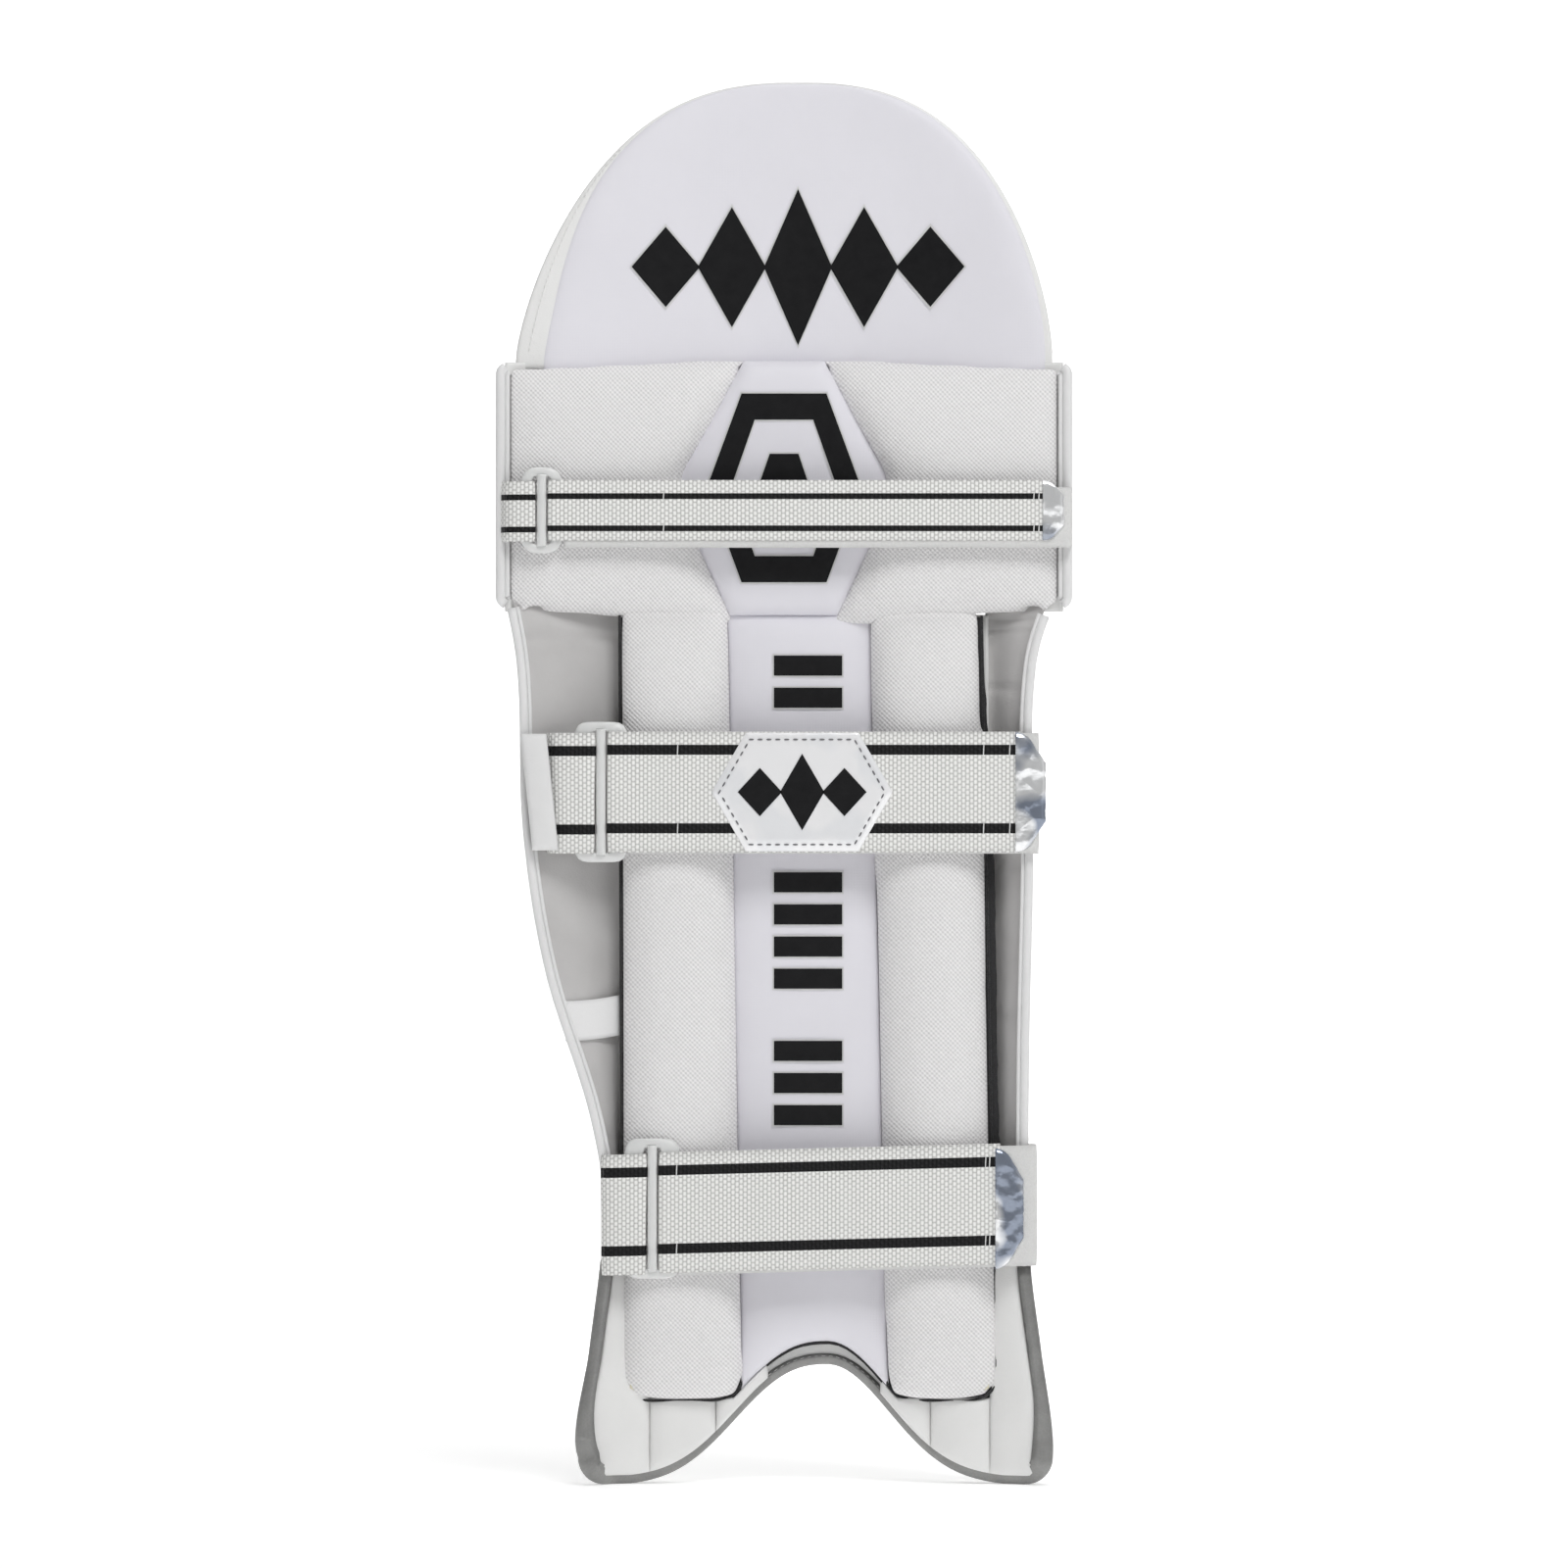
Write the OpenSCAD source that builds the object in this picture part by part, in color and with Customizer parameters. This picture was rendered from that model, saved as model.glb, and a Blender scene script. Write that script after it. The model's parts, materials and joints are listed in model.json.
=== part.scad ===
// Cricket batting leg pad, upright as it is worn.
// +X runs across the pad, -Y faces the leg, +Y faces the ball and +Z points up the leg.
// The origin is the middle of the bounding box, at the height of the toes.

/* [Overall] */
// Height from the toes to the top of the top hat
pad_h = 700; // [680:5:720]
// Width across the knee
pad_w = 287; // [281:1:293]
// Depth from the strap fronts to the crowns of the knee rolls
pad_d = 110; // [108:1:116]

/* [Sections] */
// Height of the seam between the shin and the knee
knee_z = 433; // [428:1:436]
// Height of the seam between the knee and the top hat
hat_z = 560; // [556:1:564]
// Height of the arch over the boot
arch_h = 59; // [50:1:66]
// How far the top of the top hat leans across
hat_lean = 7; // [0:1:10]

/* [Layers] */
// Depth of the leg-side lining at the middle of the pad
lining_y = -19; // [-20:0.5:-18]
// Thickness of the lining
lining_t = 3; // [2:0.5:3.5]
// Depth of the outer face of the shin
face_y = 7; // [6:0.5:8]
// Thickness of the outer face panel
face_t = 3; // [2:0.5:3.5]
// Height of the cane channels over the outer face
channel_t = 26; // [20:1:28]
// Diameter of a cane rod
cane_d = 9; // [7:0.5:10]
// Thickness of a side wing at its inner edge
wing_t = 12; // [10:0.5:13]

/* [Bows] */
// Rise of the shin section between its middle and its edges
core_bow = 10; // [8:1:11]
// Further rise of a side wing
wing_bow = 16; // [12:1:16]
// Rise of the knee and the top hat between their middle and their edges
knee_bow = 22; // [18:1:22]

/* [Straps] */
// Width of the knee strap webbing
knee_strap_w = 30; // [26:1:32]
// Width of the calf and ankle strap webbing
shin_strap_w = 60; // [54:1:62]
// Thickness of the webbing
web_t = 1.2; // [1:0.1:1.3]
// Thickness of the foil tip of a strap
tip_t = 2.1; // [1.6:0.1:2.1]
// Diameter of a buckle's bars
bar_d = 4; // [3.6:0.1:4]

/* [Hidden] */
$fn = 48;

leg_plane = -pad_d / 2;
gap = 0.4;
half_w = pad_w / 2;

// Thickness of a side wing at its outer edge
wing_edge_t = 8;

// Levels of the strap stack, from the leg side inwards
cover_t = 1.4;
bar_gap = 0.3;
flap_y = leg_plane + cover_t;
patch_y = flap_y + web_t + 0.1;
patch_t = 0.7;
strap_y = patch_y + patch_t + gap;
bar_y = flap_y + web_t + bar_d / 2 + bar_gap;
fold_y = strap_y + web_t / 2;
fold_r = 1.9;
eye_r = bar_d / 2 + gap;

// Front of the soft cushions, below the buckles
cushion_gap = 1.7;
cushion_y = bar_y + bar_d / 2 + cushion_gap;

// Cane channels, each in a node of its own
channel_count = 7;

// The straight middle of the shin, between the side wings
core_l = -80;
core_r = 102;
core_x = (core_l + core_r) / 2;
core_half = (core_r - core_l) / 2;

// Cushions on the leg side: the two sides of each bolster at its foot, then at its head
bolster_l = [[-81, -19], [-82.5, -27]];
bolster_r = [[52, 107.5], [42, 99]];
cushion_z = 41;
cushion_corner = 14;
cover_wall = 4;
backing_t = 1.5;
arch_band = 12;

// Arch over the boot: a bell curve, wider on its left
arch_x = 21.6;
arch_wl = 56;
arch_wr = 43.5;
arch_lift = 1;
toe_round = 14;
binding_w = 5;
binding_top = 112;
edge_gap = 1.2;

// Rows of the grids that follow the side edges
edge_rows = 40;

// Side edges of the shin as [height, x], from the toes to the knee
left_points = [[-30, -80], [0, -96], [21, -104], [68, -97], [138, -90], [185, -97], [256, -119],
    [326, -130], [408, -133], [460, -143]];
right_points = [[-30, 118], [0, 131], [21, 134], [68, 128], [115, 122.5], [209, 122], [302, 124],
    [408, 125.5], [460, 143]];

// Each strap: middle height, width of the webbing, left and right bars of its ring, height of the ring,
// x of its fold at the right wing, start and end of the foil tip, and left end of the buckle's loop
knee_strap_at = [485, knee_strap_w, -129.5, -111.5, 42, 141.5, 129.5, 139.2, -141];
calf_strap_at = [345, shin_strap_w, -102.5, -79.5, 69, 125, 116, 130, -118];
ankle_strap_at = [138, shin_strap_w, -77.5, -53.5, 69, 124, 106, 119, -90];
peel_run = 9;
ring_corner = 4;

// ---- Curves of the outline and of the leg side ----

function mix(a, b, k) = a + (b - a) * k;

// Smooth curve through [position, value] points, by Catmull-Rom spans
function span_of(points, at, i = 1) =
    i >= len(points) - 2 || at < points[i + 1][0] ? i : span_of(points, at, i + 1);
function spline(points, at) =
    let (
        i = span_of(points, at),
        p0 = points[i - 1],
        p1 = points[i],
        p2 = points[i + 1],
        p3 = points[min(i + 2, len(points) - 1)],
        run = p2[0] - p1[0],
        k = (at - p1[0]) / run,
        m1 = (p2[1] - p0[1]) / (p2[0] - p0[0]) * run,
        m2 = (p3[1] - p1[1]) / (p3[0] - p1[0]) * run
    )
    (2 * k ^ 3 - 3 * k ^ 2 + 1) * p1[1] + (k ^ 3 - 2 * k ^ 2 + k) * m1
    + (3 * k ^ 2 - 2 * k ^ 3) * p2[1] + (k ^ 3 - k ^ 2) * m2;

function left_edge(z) = spline(left_points, z);
function right_edge(z) = spline(right_points, z);

// Lower outline: the arch, with round toes
toe_l = left_edge(toe_round);
toe_r = right_edge(toe_round);
function arch_z(x) =
    (arch_h + arch_lift) * exp(-(abs(x - arch_x) / (x < arch_x ? arch_wl : arch_wr)) ^ (x < arch_x ? 2.5 : 2))
    - arch_lift;
function round_z(inset, r = toe_round) =
    inset >= r ? 0 : r - sqrt(max(0, r ^ 2 - (r - inset) ^ 2));
function low_z(x) = max(arch_z(x), round_z(max(0, x - toe_l)), round_z(max(0, toe_r - x)));

// Half width of the top hat at a share of its height, and the share that has a half width
hat_h = pad_h - hat_z;
hat_half = 134;
dome_rise = 1.5;
dome_spread = 0.385;
function hat_half_at(k) = hat_half * (1 - k ^ dome_rise) ^ dome_spread;
function hat_share_at(half) = (1 - (half / hat_half) ^ (1 / dome_spread)) ^ (1 / dome_rise);

// Depth of the leg face: bowed in the middle, then turned up along the wings
function wing_share(x, z) =
    x < core_l ? (core_l - x) / (core_l - left_edge(z)) : max(0, (x - core_r) / (right_edge(z) - core_r));
function leg_y(x, z) =
    lining_y - core_bow * min(1, abs((x - core_x) / core_half)) ^ 2
    - wing_bow * min(1, wing_share(x, z)) ^ 1.4;
core_curve = function(x) -core_bow * ((x - core_x) / core_half) ^ 2;
knee_curve = function(x) -knee_bow * (x / half_w) ^ 2;
front_turn = 1.8;
knee_front_curve = function(x) -front_turn * knee_bow * abs(x / half_w) ^ 2.2;

// Share of a cushion's full thickness, from its edge to its crown
function crown(u, v, edge, pu, pv) =
    edge + (1 - edge) * sqrt((1 - abs(2 * u - 1) ^ pu) * (1 - abs(2 * v - 1) ^ pv));

// ---- General solids ----

// Closed solid over a grid. xl and xr are its sides as functions of z, zb and zt are its lower and upper
// edges as functions of x, and y0 and y1 are its faces as functions of (x, z, u, v).
module patch(xl, xr, zb, zt, y0, y1, nu = 8, nv = 10) {
    z_mid = (zb((xl(0) + xr(0)) / 2) + zt((xl(0) + xr(0)) / 2)) / 2;
    spots = [for (j = [0:nv]) for (i = [0:nu])
        let (
            u = 0.5 - 0.5 * cos(180 * i / nu),
            v = 0.5 - 0.5 * cos(180 * j / nv),
            x_first = mix(xl(z_mid), xr(z_mid), u),
            z_first = mix(zb(x_first), zt(x_first), v),
            x_next = mix(xl(z_first), xr(z_first), u),
            z_next = mix(zb(x_next), zt(x_next), v),
            x = mix(xl(z_next), xr(z_next), u)
        )
        [x, mix(zb(x), zt(x), v), u, v]];
    n = len(spots);
    row = nu + 1;
    points = concat(
        [for (s = spots) [s[0], y0(s[0], s[1], s[2], s[3]), s[1]]],
        [for (s = spots) [s[0], y1(s[0], s[1], s[2], s[3]), s[1]]]);
    faces = concat(
        [for (j = [0:nv - 1]) for (i = [0:nu - 1]) let (a = j * row + i)
            each [[a, a + row, a + row + 1], [a, a + row + 1, a + 1],
                [n + a, n + a + row + 1, n + a + row], [n + a, n + a + 1, n + a + row + 1]]],
        [for (i = [0:nu - 1]) let (t = nv * row + i)
            each [[i, i + 1, n + i + 1], [i, n + i + 1, n + i],
                [t + 1, t, n + t], [t + 1, n + t, n + t + 1]]],
        [for (j = [0:nv - 1]) let (a = j * row, b = j * row + nu)
            each [[a + row, a, n + a], [a + row, n + a, n + a + row],
                [b, b + row, n + b + row], [b, n + b + row, n + b]]]);
    polyhedron(points, faces);
}

// Layer of even height between two plan curves
module layer(x0, x1, back, front, z0, z1, steps = 16) {
    xs = [for (i = [0:steps]) mix(x0, x1, i / steps)];
    translate([0, 0, z0])
        linear_extrude(z1 - z0)
            polygon(concat([for (x = xs) [x, back(x)]], [for (i = [steps:-1:0]) [xs[i], front(xs[i])]]));
}

// Band along a plan path, of even thickness to one side of it
module ribbon(path, thickness, z0, height) {
    last = len(path) - 1;
    normals = [for (i = [0:last])
        let (d = path[min(last, i + 1)] - path[max(0, i - 1)]) [-d[1], d[0]] / norm(d)];
    translate([0, 0, z0])
        linear_extrude(height)
            polygon(concat(path, [for (i = [last:-1:0]) path[i] + normals[i] * thickness]));
}

// Everything below the arch, to cut it out of a layer
module below_arch(band) {
    xs = [for (x = [core_l - 5:4:core_r + 5]) x];
    rotate([90, 0, 0])
        linear_extrude(2 * pad_d, center = true)
            polygon(concat([for (x = xs) [x, low_z(x) + band]], [[core_r + 10, -5], [core_l - 10, -5]]));
}

// Outline of the top hat, less an inset, from a height upwards
module hat_outline(inset, z0) {
    side = function(s, k) [hat_lean * k + s * max(0, hat_half_at(k) - inset), hat_z + (hat_h - inset) * k];
    start = (z0 - hat_z) / hat_h;
    rise = [for (i = [0:16]) start + (1 - start) * sin(90 * i / 16)];
    rotate([90, 0, 0])
        linear_extrude(2 * pad_d, center = true)
            polygon(concat([for (k = rise) side(1, k)], [for (i = [15:-1:0]) side(-1, rise[i])]));
}

// ---- Shin ----

module shin_layer(y0, y1) {
    difference() {
        layer(core_l, core_r, function(x) y0 + core_curve(x), function(x) y1 + core_curve(x), 0, knee_z);
        below_arch(binding_w + gap);
    }
}

module shin_face_panel() {
    color("white")
        shin_layer(face_y, face_y + face_t);
}

module shin_foam() {
    color("khaki")
        shin_layer(lining_y + lining_t + gap, face_y - gap);
}

module shin_lining() {
    color("whitesmoke")
        shin_layer(lining_y, lining_y + lining_t);
}

channel_pitch = (core_r - core_l) / channel_count;
function channel_x(i) = core_l + channel_pitch * (i + 0.5);
function channel_base(i) =
    face_y + face_t + gap
    - core_bow * (max(0, abs(channel_x(i) - core_x) - channel_pitch / 2) / core_half) ^ 2;
function channel_low(i) =
    max([for (s = [-0.5:0.25:0.5]) low_z(channel_x(i) + s * channel_pitch)]) + binding_w + 2;

// Cane channel: a flat-backed round tube with the bore of its cane
module cane_channel(i) {
    half = channel_pitch / 2 - gap;
    straight = channel_t - half;
    color("white")
        translate([channel_x(i), channel_base(i), channel_low(i)])
            linear_extrude(knee_z - channel_low(i))
                difference() {
                    union() {
                        translate([-half, 0])
                            square([2 * half, straight]);
                        translate([0, straight])
                            circle(half);
                    }
                    translate([0, straight])
                        circle(d = cane_d + 2 * gap);
                }
}

module cane_rods() {
    color("burlywood")
        for (i = [0:channel_count - 1])
            translate([channel_x(i), channel_base(i) + channel_t - channel_pitch / 2 + gap, channel_low(i) + 4])
                cylinder(h = knee_z - channel_low(i) - 8, d = cane_d);
}

module outer_wing() {
    color("white")
        patch(function(z) left_edge(z) + binding_w + edge_gap, function(z) core_l - gap,
            function(x) low_z(x) + binding_w + edge_gap, function(x) knee_z,
            function(x, z, u, v) leg_y(x, z), function(x, z, u, v) leg_y(x, z) + mix(wing_edge_t, wing_t, u),
            6, edge_rows);
}

module inner_wing() {
    color("white")
        patch(function(z) core_r + gap, function(z) right_edge(z) - binding_w - edge_gap,
            function(x) low_z(x) + binding_w + edge_gap, function(x) knee_z,
            function(x, z, u, v) leg_y(x, z), function(x, z, u, v) leg_y(x, z) + mix(wing_t, wing_edge_t, u),
            5, edge_rows);
}

// Piping of one side, along the shin wing and the knee. The knee strap's webbing passes in a notch.
piping_lift = 1;
knee_piping_lift = 5;
knee_corner = 3;
module side_piping(edge, side) {
    inner = function(z) edge(z) - side * binding_w;
    knee_outer = function(z)
        side * (half_w - knee_corner * abs((2 * z - knee_z - hat_z) / (hat_z - knee_z)) ^ 8);
    knee_inner = function(z) side * (half_w - binding_w);
    notch_x = fold_x(knee_strap_at) + fold_r - web_t - gap;
    notch_h = knee_strap_w + 2 * gap;
    color("ghostwhite") {
        patch(side < 0 ? edge : inner, side < 0 ? inner : edge,
            function(x) binding_top + gap, function(x) knee_z - gap,
            function(x, z, u, v) leg_y(x, z) - piping_lift,
            function(x, z, u, v) leg_y(x, z) + wing_edge_t + piping_lift, 2, edge_rows);
        difference() {
            patch(side < 0 ? knee_outer : knee_inner, side < 0 ? knee_inner : knee_outer,
                function(x) knee_z + 2, function(x) hat_z - 2,
                function(x, z, u, v) lining_y + knee_curve(x) - knee_piping_lift,
                function(x, z, u, v) lining_y + knee_curve(x) + wing_edge_t - piping_lift, 2, 6);
            translate([notch_x, leg_plane, z_of(knee_strap_at) - notch_h / 2])
                cube([knee_corner, pad_d, notch_h]);
        }
    }
}

module outer_wing_piping() {
    side_piping(function(z) left_edge(z), -1);
}

module inner_wing_piping() {
    side_piping(function(z) right_edge(z), 1);
}

// Padded cells over the toes, three each side
cells = [[-98, -67.5], [-66.5, -34.5], [-33.5, -21], [54, 72.5], [73.5, 102], [103, 129]];
cell_t = 10;
module instep_cells() {
    color("whitesmoke")
        for (c = cells)
            patch(function(z) max(c[0], left_edge(z) + binding_w + edge_gap),
                function(z) min(c[1], right_edge(z) - binding_w - edge_gap),
                function(x) low_z(x) + binding_w + edge_gap,
                function(x) max(cushion_z, low_z(x) + arch_band) - 2 * edge_gap,
                function(x, z, u, v) leg_y(x, z) - gap - cell_t * crown(u, v, 0.3, 3, 4),
                function(x, z, u, v) leg_y(x, z) - gap, 5, 5);
}

// Silver binding: a strip along the arch and a strip up each side
binding_lift = 1.5;
module instep_binding() {
    face = function(x, z, u, v) leg_y(x, z) - binding_lift;
    back = function(x, z, u, v) leg_y(x, z) + wing_edge_t + piping_lift;
    color("silver")
        union() {
            patch(function(z) toe_l, function(z) toe_r, function(x) low_z(x),
                function(x) low_z(x) + binding_w, face, back, 44, 1);
            patch(function(z) left_edge(z), function(z) left_edge(z) + binding_w,
                function(x) toe_round - 1, function(x) binding_top, face, back, 2, 8);
            patch(function(z) right_edge(z) - binding_w, function(z) right_edge(z),
                function(x) toe_round - 1, function(x) binding_top, face, back, 2, 8);
        }
}

// ---- Leg-side cushions ----

// Black backing that shows round the bolsters
module bolster_backing() {
    color("black")
        difference() {
            layer(core_l + 1, core_r - 1, function(x) lining_y - gap - backing_t + core_curve(x),
                function(x) lining_y - gap + core_curve(x), cushion_z, knee_z);
            below_arch(arch_band - edge_gap);
        }
}

// Side of a bolster at a height: 0 is its left and 1 its right
function bolster_side(sides, which, z) = mix(sides[0][which], sides[1][which], z / knee_z);

// Lower edge of a bolster, with rounded corners
function bolster_foot(sides, x) =
    let (inset = max(0, min(x - bolster_side(sides, 0, cushion_z), bolster_side(sides, 1, cushion_z) - x)))
    max(cushion_z + 0.7 * round_z(inset, cushion_corner), low_z(x) + arch_band);

// A bolster's whole outer form, or its core when it is inset
module bolster_form(sides, inset) {
    back_gap = 2 * gap + backing_t + inset;
    patch(function(z) bolster_side(sides, 0, z) + inset, function(z) bolster_side(sides, 1, z) - inset,
        function(x) bolster_foot(sides, x) + inset, function(x) knee_z - 1 - inset,
        function(x, z, u, v) mix(leg_y(x, z) - back_gap, cushion_y + inset, crown(u, v, 0.25, 3, 14)),
        function(x, z, u, v) leg_y(x, z) - back_gap, 8, 10);
}

module shin_bolster(sides) {
    color("linen")
        difference() {
            bolster_form(sides, 0);
            bolster_form(sides, cover_wall);
        }
}

module bolster_cores() {
    color("khaki") {
        bolster_form(bolster_l, cover_wall + gap);
        bolster_form(bolster_r, cover_wall + gap);
    }
}

// Smooth panel between the bolsters
centre_t = 14;
module centre_shin_panel() {
    color("lavender")
        patch(function(z) bolster_side(bolster_l, 1, z) + gap, function(z) bolster_side(bolster_r, 0, z) - gap,
            function(x) max(cushion_z, low_z(x) + arch_band), function(x) knee_z - 1,
            function(x, z, u, v) leg_y(x, z) - centre_t,
            function(x, z, u, v) leg_y(x, z) - 2 * gap - backing_t, 12, 8);
}

// Size label, from the seam of the piping to the bolster
label_z = [221, 241];
label_t = 1.6;
module size_label() {
    color("white")
        patch(function(z) left_edge(z) + binding_w + edge_gap, function(z) core_l - 2,
            function(x) label_z[0], function(x) label_z[1],
            function(x, z, u, v) leg_y(x, z) - gap - label_t, function(x, z, u, v) leg_y(x, z) - gap, 4, 1);
}

// ---- Knee ----

module knee_face_panel() {
    color("white")
        layer(-half_w + binding_w + gap, half_w - binding_w - gap, function(x) face_y + knee_front_curve(x),
            function(x) face_y + face_t + knee_front_curve(x), knee_z + 2, hat_z - 2, 24);
}

module knee_foam() {
    color("khaki")
        layer(-half_w + binding_w + gap, half_w - binding_w - gap, function(x) lining_y + knee_curve(x),
            function(x) face_y - gap + knee_front_curve(x), knee_z + 2, hat_z - 2, 24);
}

// Hexagonal patch at the middle of the knee: half its width at each height
knee_patch_t = 16;
patch_points = [[knee_z - 30, 12], [knee_z, 24], [knee_z + 34, 41], [knee_z + 69, 50.5], [hat_z, 17],
    [hat_z + 30, -2]];
function patch_half(z) = lookup(z, patch_points);

module knee_cushion(side) {
    inner = function(z) side * (patch_half(z) + gap);
    outer = function(z) side * (half_w - binding_w - gap);
    color("linen")
        patch(side < 0 ? outer : inner, side < 0 ? inner : outer,
            function(x) knee_z + 2, function(x) hat_z - 2,
            function(x, z, u, v) mix(lining_y - gap + knee_curve(x), cushion_y, crown(u, v, 0.3, 4, 4)),
            function(x, z, u, v) lining_y - gap + knee_curve(x), 8, 8);
}

module left_knee_wing() {
    knee_cushion(-1);
}

module right_knee_wing() {
    knee_cushion(1);
}

module knee_patch() {
    color("lavender")
        patch(function(z) -patch_half(z) + gap, function(z) patch_half(z) - gap,
            function(x) knee_z + 2, function(x) hat_z - 2,
            function(x, z, u, v) lining_y - gap + knee_curve(x) - knee_patch_t * crown(u, v, 0.6, 4, 4),
            function(x, z, u, v) lining_y - gap + knee_curve(x), 6, 8);
}

// Knee rolls: horizontal round bars across the front of the knee
roll_count = 3;
roll_pitch = (hat_z - knee_z - 6) / roll_count;
roll_crown = pad_d / 2;
roll_l = core_l + 2;
roll_r = core_r - 12;
module roll_form(i, inset) {
    z0 = knee_z + 2 + roll_pitch * i + gap + inset;
    z1 = knee_z + 2 + roll_pitch * (i + 1) - gap - inset;
    base = face_y + face_t + 2 * gap + inset;
    patch(function(z) roll_l + inset, function(z) roll_r - inset,
        function(x) z0, function(x) z1,
        function(x, z, u, v) base + knee_front_curve(x),
        function(x, z, u, v) mix(base + knee_front_curve(x), roll_crown - inset, crown(u, v, 0.2, 6, 2)), 8, 8);
}

module knee_roll(i) {
    color("white")
        difference() {
            roll_form(i, 0);
            roll_form(i, cover_wall);
        }
}

module knee_roll_cores() {
    color("khaki")
        for (i = [0:roll_count - 1])
            roll_form(i, cover_wall + gap);
}

// ---- Top hat ----

// A layer of the top hat starts higher the further it is from the hinge line, so that the hat can bend
hinge_y = lining_y - 3;
bend_limit = 8;
function hat_start(y) = hat_z + 2 + max(0, y - hinge_y) * sin(bend_limit);

module hat_layer(y0, y1, inset) {
    intersection() {
        layer(-hat_half, hat_half + hat_lean, function(x) y0 + knee_curve(x), function(x) y1 + knee_curve(x),
            hat_start(y1), pad_h);
        hat_outline(inset, hat_z);
    }
}

hat_foam_t = 12;
hat_face_y = lining_y + lining_t + hat_foam_t + 2 * gap;
hat_channel_t = 18;
hat_edge = 4;

module top_hat_lining() {
    color("lavender")
        hat_layer(lining_y, lining_y + lining_t, hat_edge + gap);
}

module top_hat_foam() {
    color("khaki")
        hat_layer(lining_y + lining_t + gap, hat_face_y - gap, hat_edge + gap);
}

module top_hat_face() {
    color("white")
        hat_layer(hat_face_y, hat_face_y + face_t, hat_edge + gap);
}

// Short cane channels on the front of the top hat, each under its own part of the dome
module top_hat_channels() {
    base = hat_face_y + face_t + gap;
    half = channel_pitch / 2 - gap;
    low = hat_start(base + hat_channel_t);
    color("white")
        for (i = [0:channel_count - 1]) {
            x = hat_lean + channel_pitch * (i - (channel_count - 1) / 2);
            reach = abs(x - hat_lean) + half + 2 * hat_edge;
            high = hat_z + hat_h * hat_share_at(reach) - 2 * hat_edge;
            translate([x, base + knee_curve(max(0, abs(x) - half)), low])
                linear_extrude(high - low)
                    intersection() {
                        translate([0, hat_channel_t - half])
                            circle(half);
                        translate([-half, 0])
                            square([2 * half, hat_channel_t]);
                    }
        }
}

module top_hat_piping() {
    color("ghostwhite")
        difference() {
            layer(-hat_half - 2, hat_half + hat_lean, function(x) lining_y - 1 + knee_curve(x),
                function(x) hat_face_y + face_t + 1 + knee_curve(x), hat_start(hat_face_y + face_t), pad_h, 32);
            hat_outline(hat_edge, hat_z);
            difference() {
                translate([-pad_w, -pad_d, hat_z])
                    cube([2 * pad_w, 2 * pad_d, hat_h + 10]);
                hat_outline(0, hat_z);
            }
        }
}

// ---- Straps and buckles ----

function z_of(s) = s[0];
function w_of(s) = s[1];
function loop_x(s) = s[2];
function bar_x(s) = s[3];
function ring_h(s) = s[4];
function fold_x(s) = s[5];
function tip_x(s) = s[6];
function end_x(s) = s[7];
function tail_x(s) = s[8];
function peel_x(s) = bar_x(s) + peel_run;

// Height of the webbing where it turns round a bar, between the ring's bends
function turn_h(s) = ring_h(s) - 2 * bar_d - 2 * ring_corner + 2;

// Round bar between two points of the ring's plane, given as [x, z]
module ring_bar(from, to) {
    along = to - from;
    translate([from[0], bar_y, from[1]])
        rotate([0, atan2(along[0], along[1]), 0])
            cylinder(h = norm(along), d = bar_d);
}

// Ring buckle: four round bars and four quarter bends
module buckle(s) {
    x0 = loop_x(s);
    x1 = bar_x(s);
    z0 = z_of(s) - ring_h(s) / 2 + bar_d / 2;
    z1 = z_of(s) + ring_h(s) / 2 - bar_d / 2;
    r = ring_corner;
    bends = [[x1 - r, z1 - r, 0], [x0 + r, z1 - r, 90], [x0 + r, z0 + r, 180], [x1 - r, z0 + r, 270]];
    color("azure", 0.6)
        union() {
            ring_bar([x0, z0 + r], [x0, z1 - r]);
            ring_bar([x1, z0 + r], [x1, z1 - r]);
            ring_bar([x0 + r, z0], [x1 - r, z0]);
            ring_bar([x0 + r, z1], [x1 - r, z1]);
            for (b = bends)
                translate([b[0], bar_y, b[1]])
                    rotate([90, 0, 0])
                        rotate_extrude(angle = 90, start = b[2])
                            translate([r, 0])
                                circle(d = bar_d);
        }
}

// Webbing loop round the left bar of a ring, with its tail to the left wing
module buckle_loop(s) {
    h = turn_h(s);
    z0 = z_of(s) - h / 2;
    color("whitesmoke")
        difference() {
            union() {
                translate([loop_x(s), bar_y, z0])
                    cylinder(h = h, r = eye_r + web_t);
                translate([tail_x(s), bar_y - eye_r, z0])
                    cube([loop_x(s) - tail_x(s), 2 * web_t, h]);
            }
            translate([loop_x(s), bar_y, z0 - 1])
                cylinder(h = h + 2, r = eye_r);
        }
}

// Webbing sewn to the outside of the right wing and folded round its edge
turn_run = 3;
tail_l = 16;
tail_steps = 4;
module strap_anchor(s, outside) {
    z0 = z_of(s) - w_of(s) / 2;
    x = fold_x(s);
    tail = [for (k = [0:tail_steps]) outside(x - turn_run - tail_l * k / tail_steps)];
    color("whitesmoke")
        union() {
            translate([x, fold_y, z0])
                cylinder(h = w_of(s), r = fold_r);
            ribbon(concat([[x + fold_r - web_t, fold_y], [x + fold_r - web_t, outside(x - 1)[1] - turn_run]],
                tail), -web_t, z0, w_of(s));
        }
}

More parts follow.
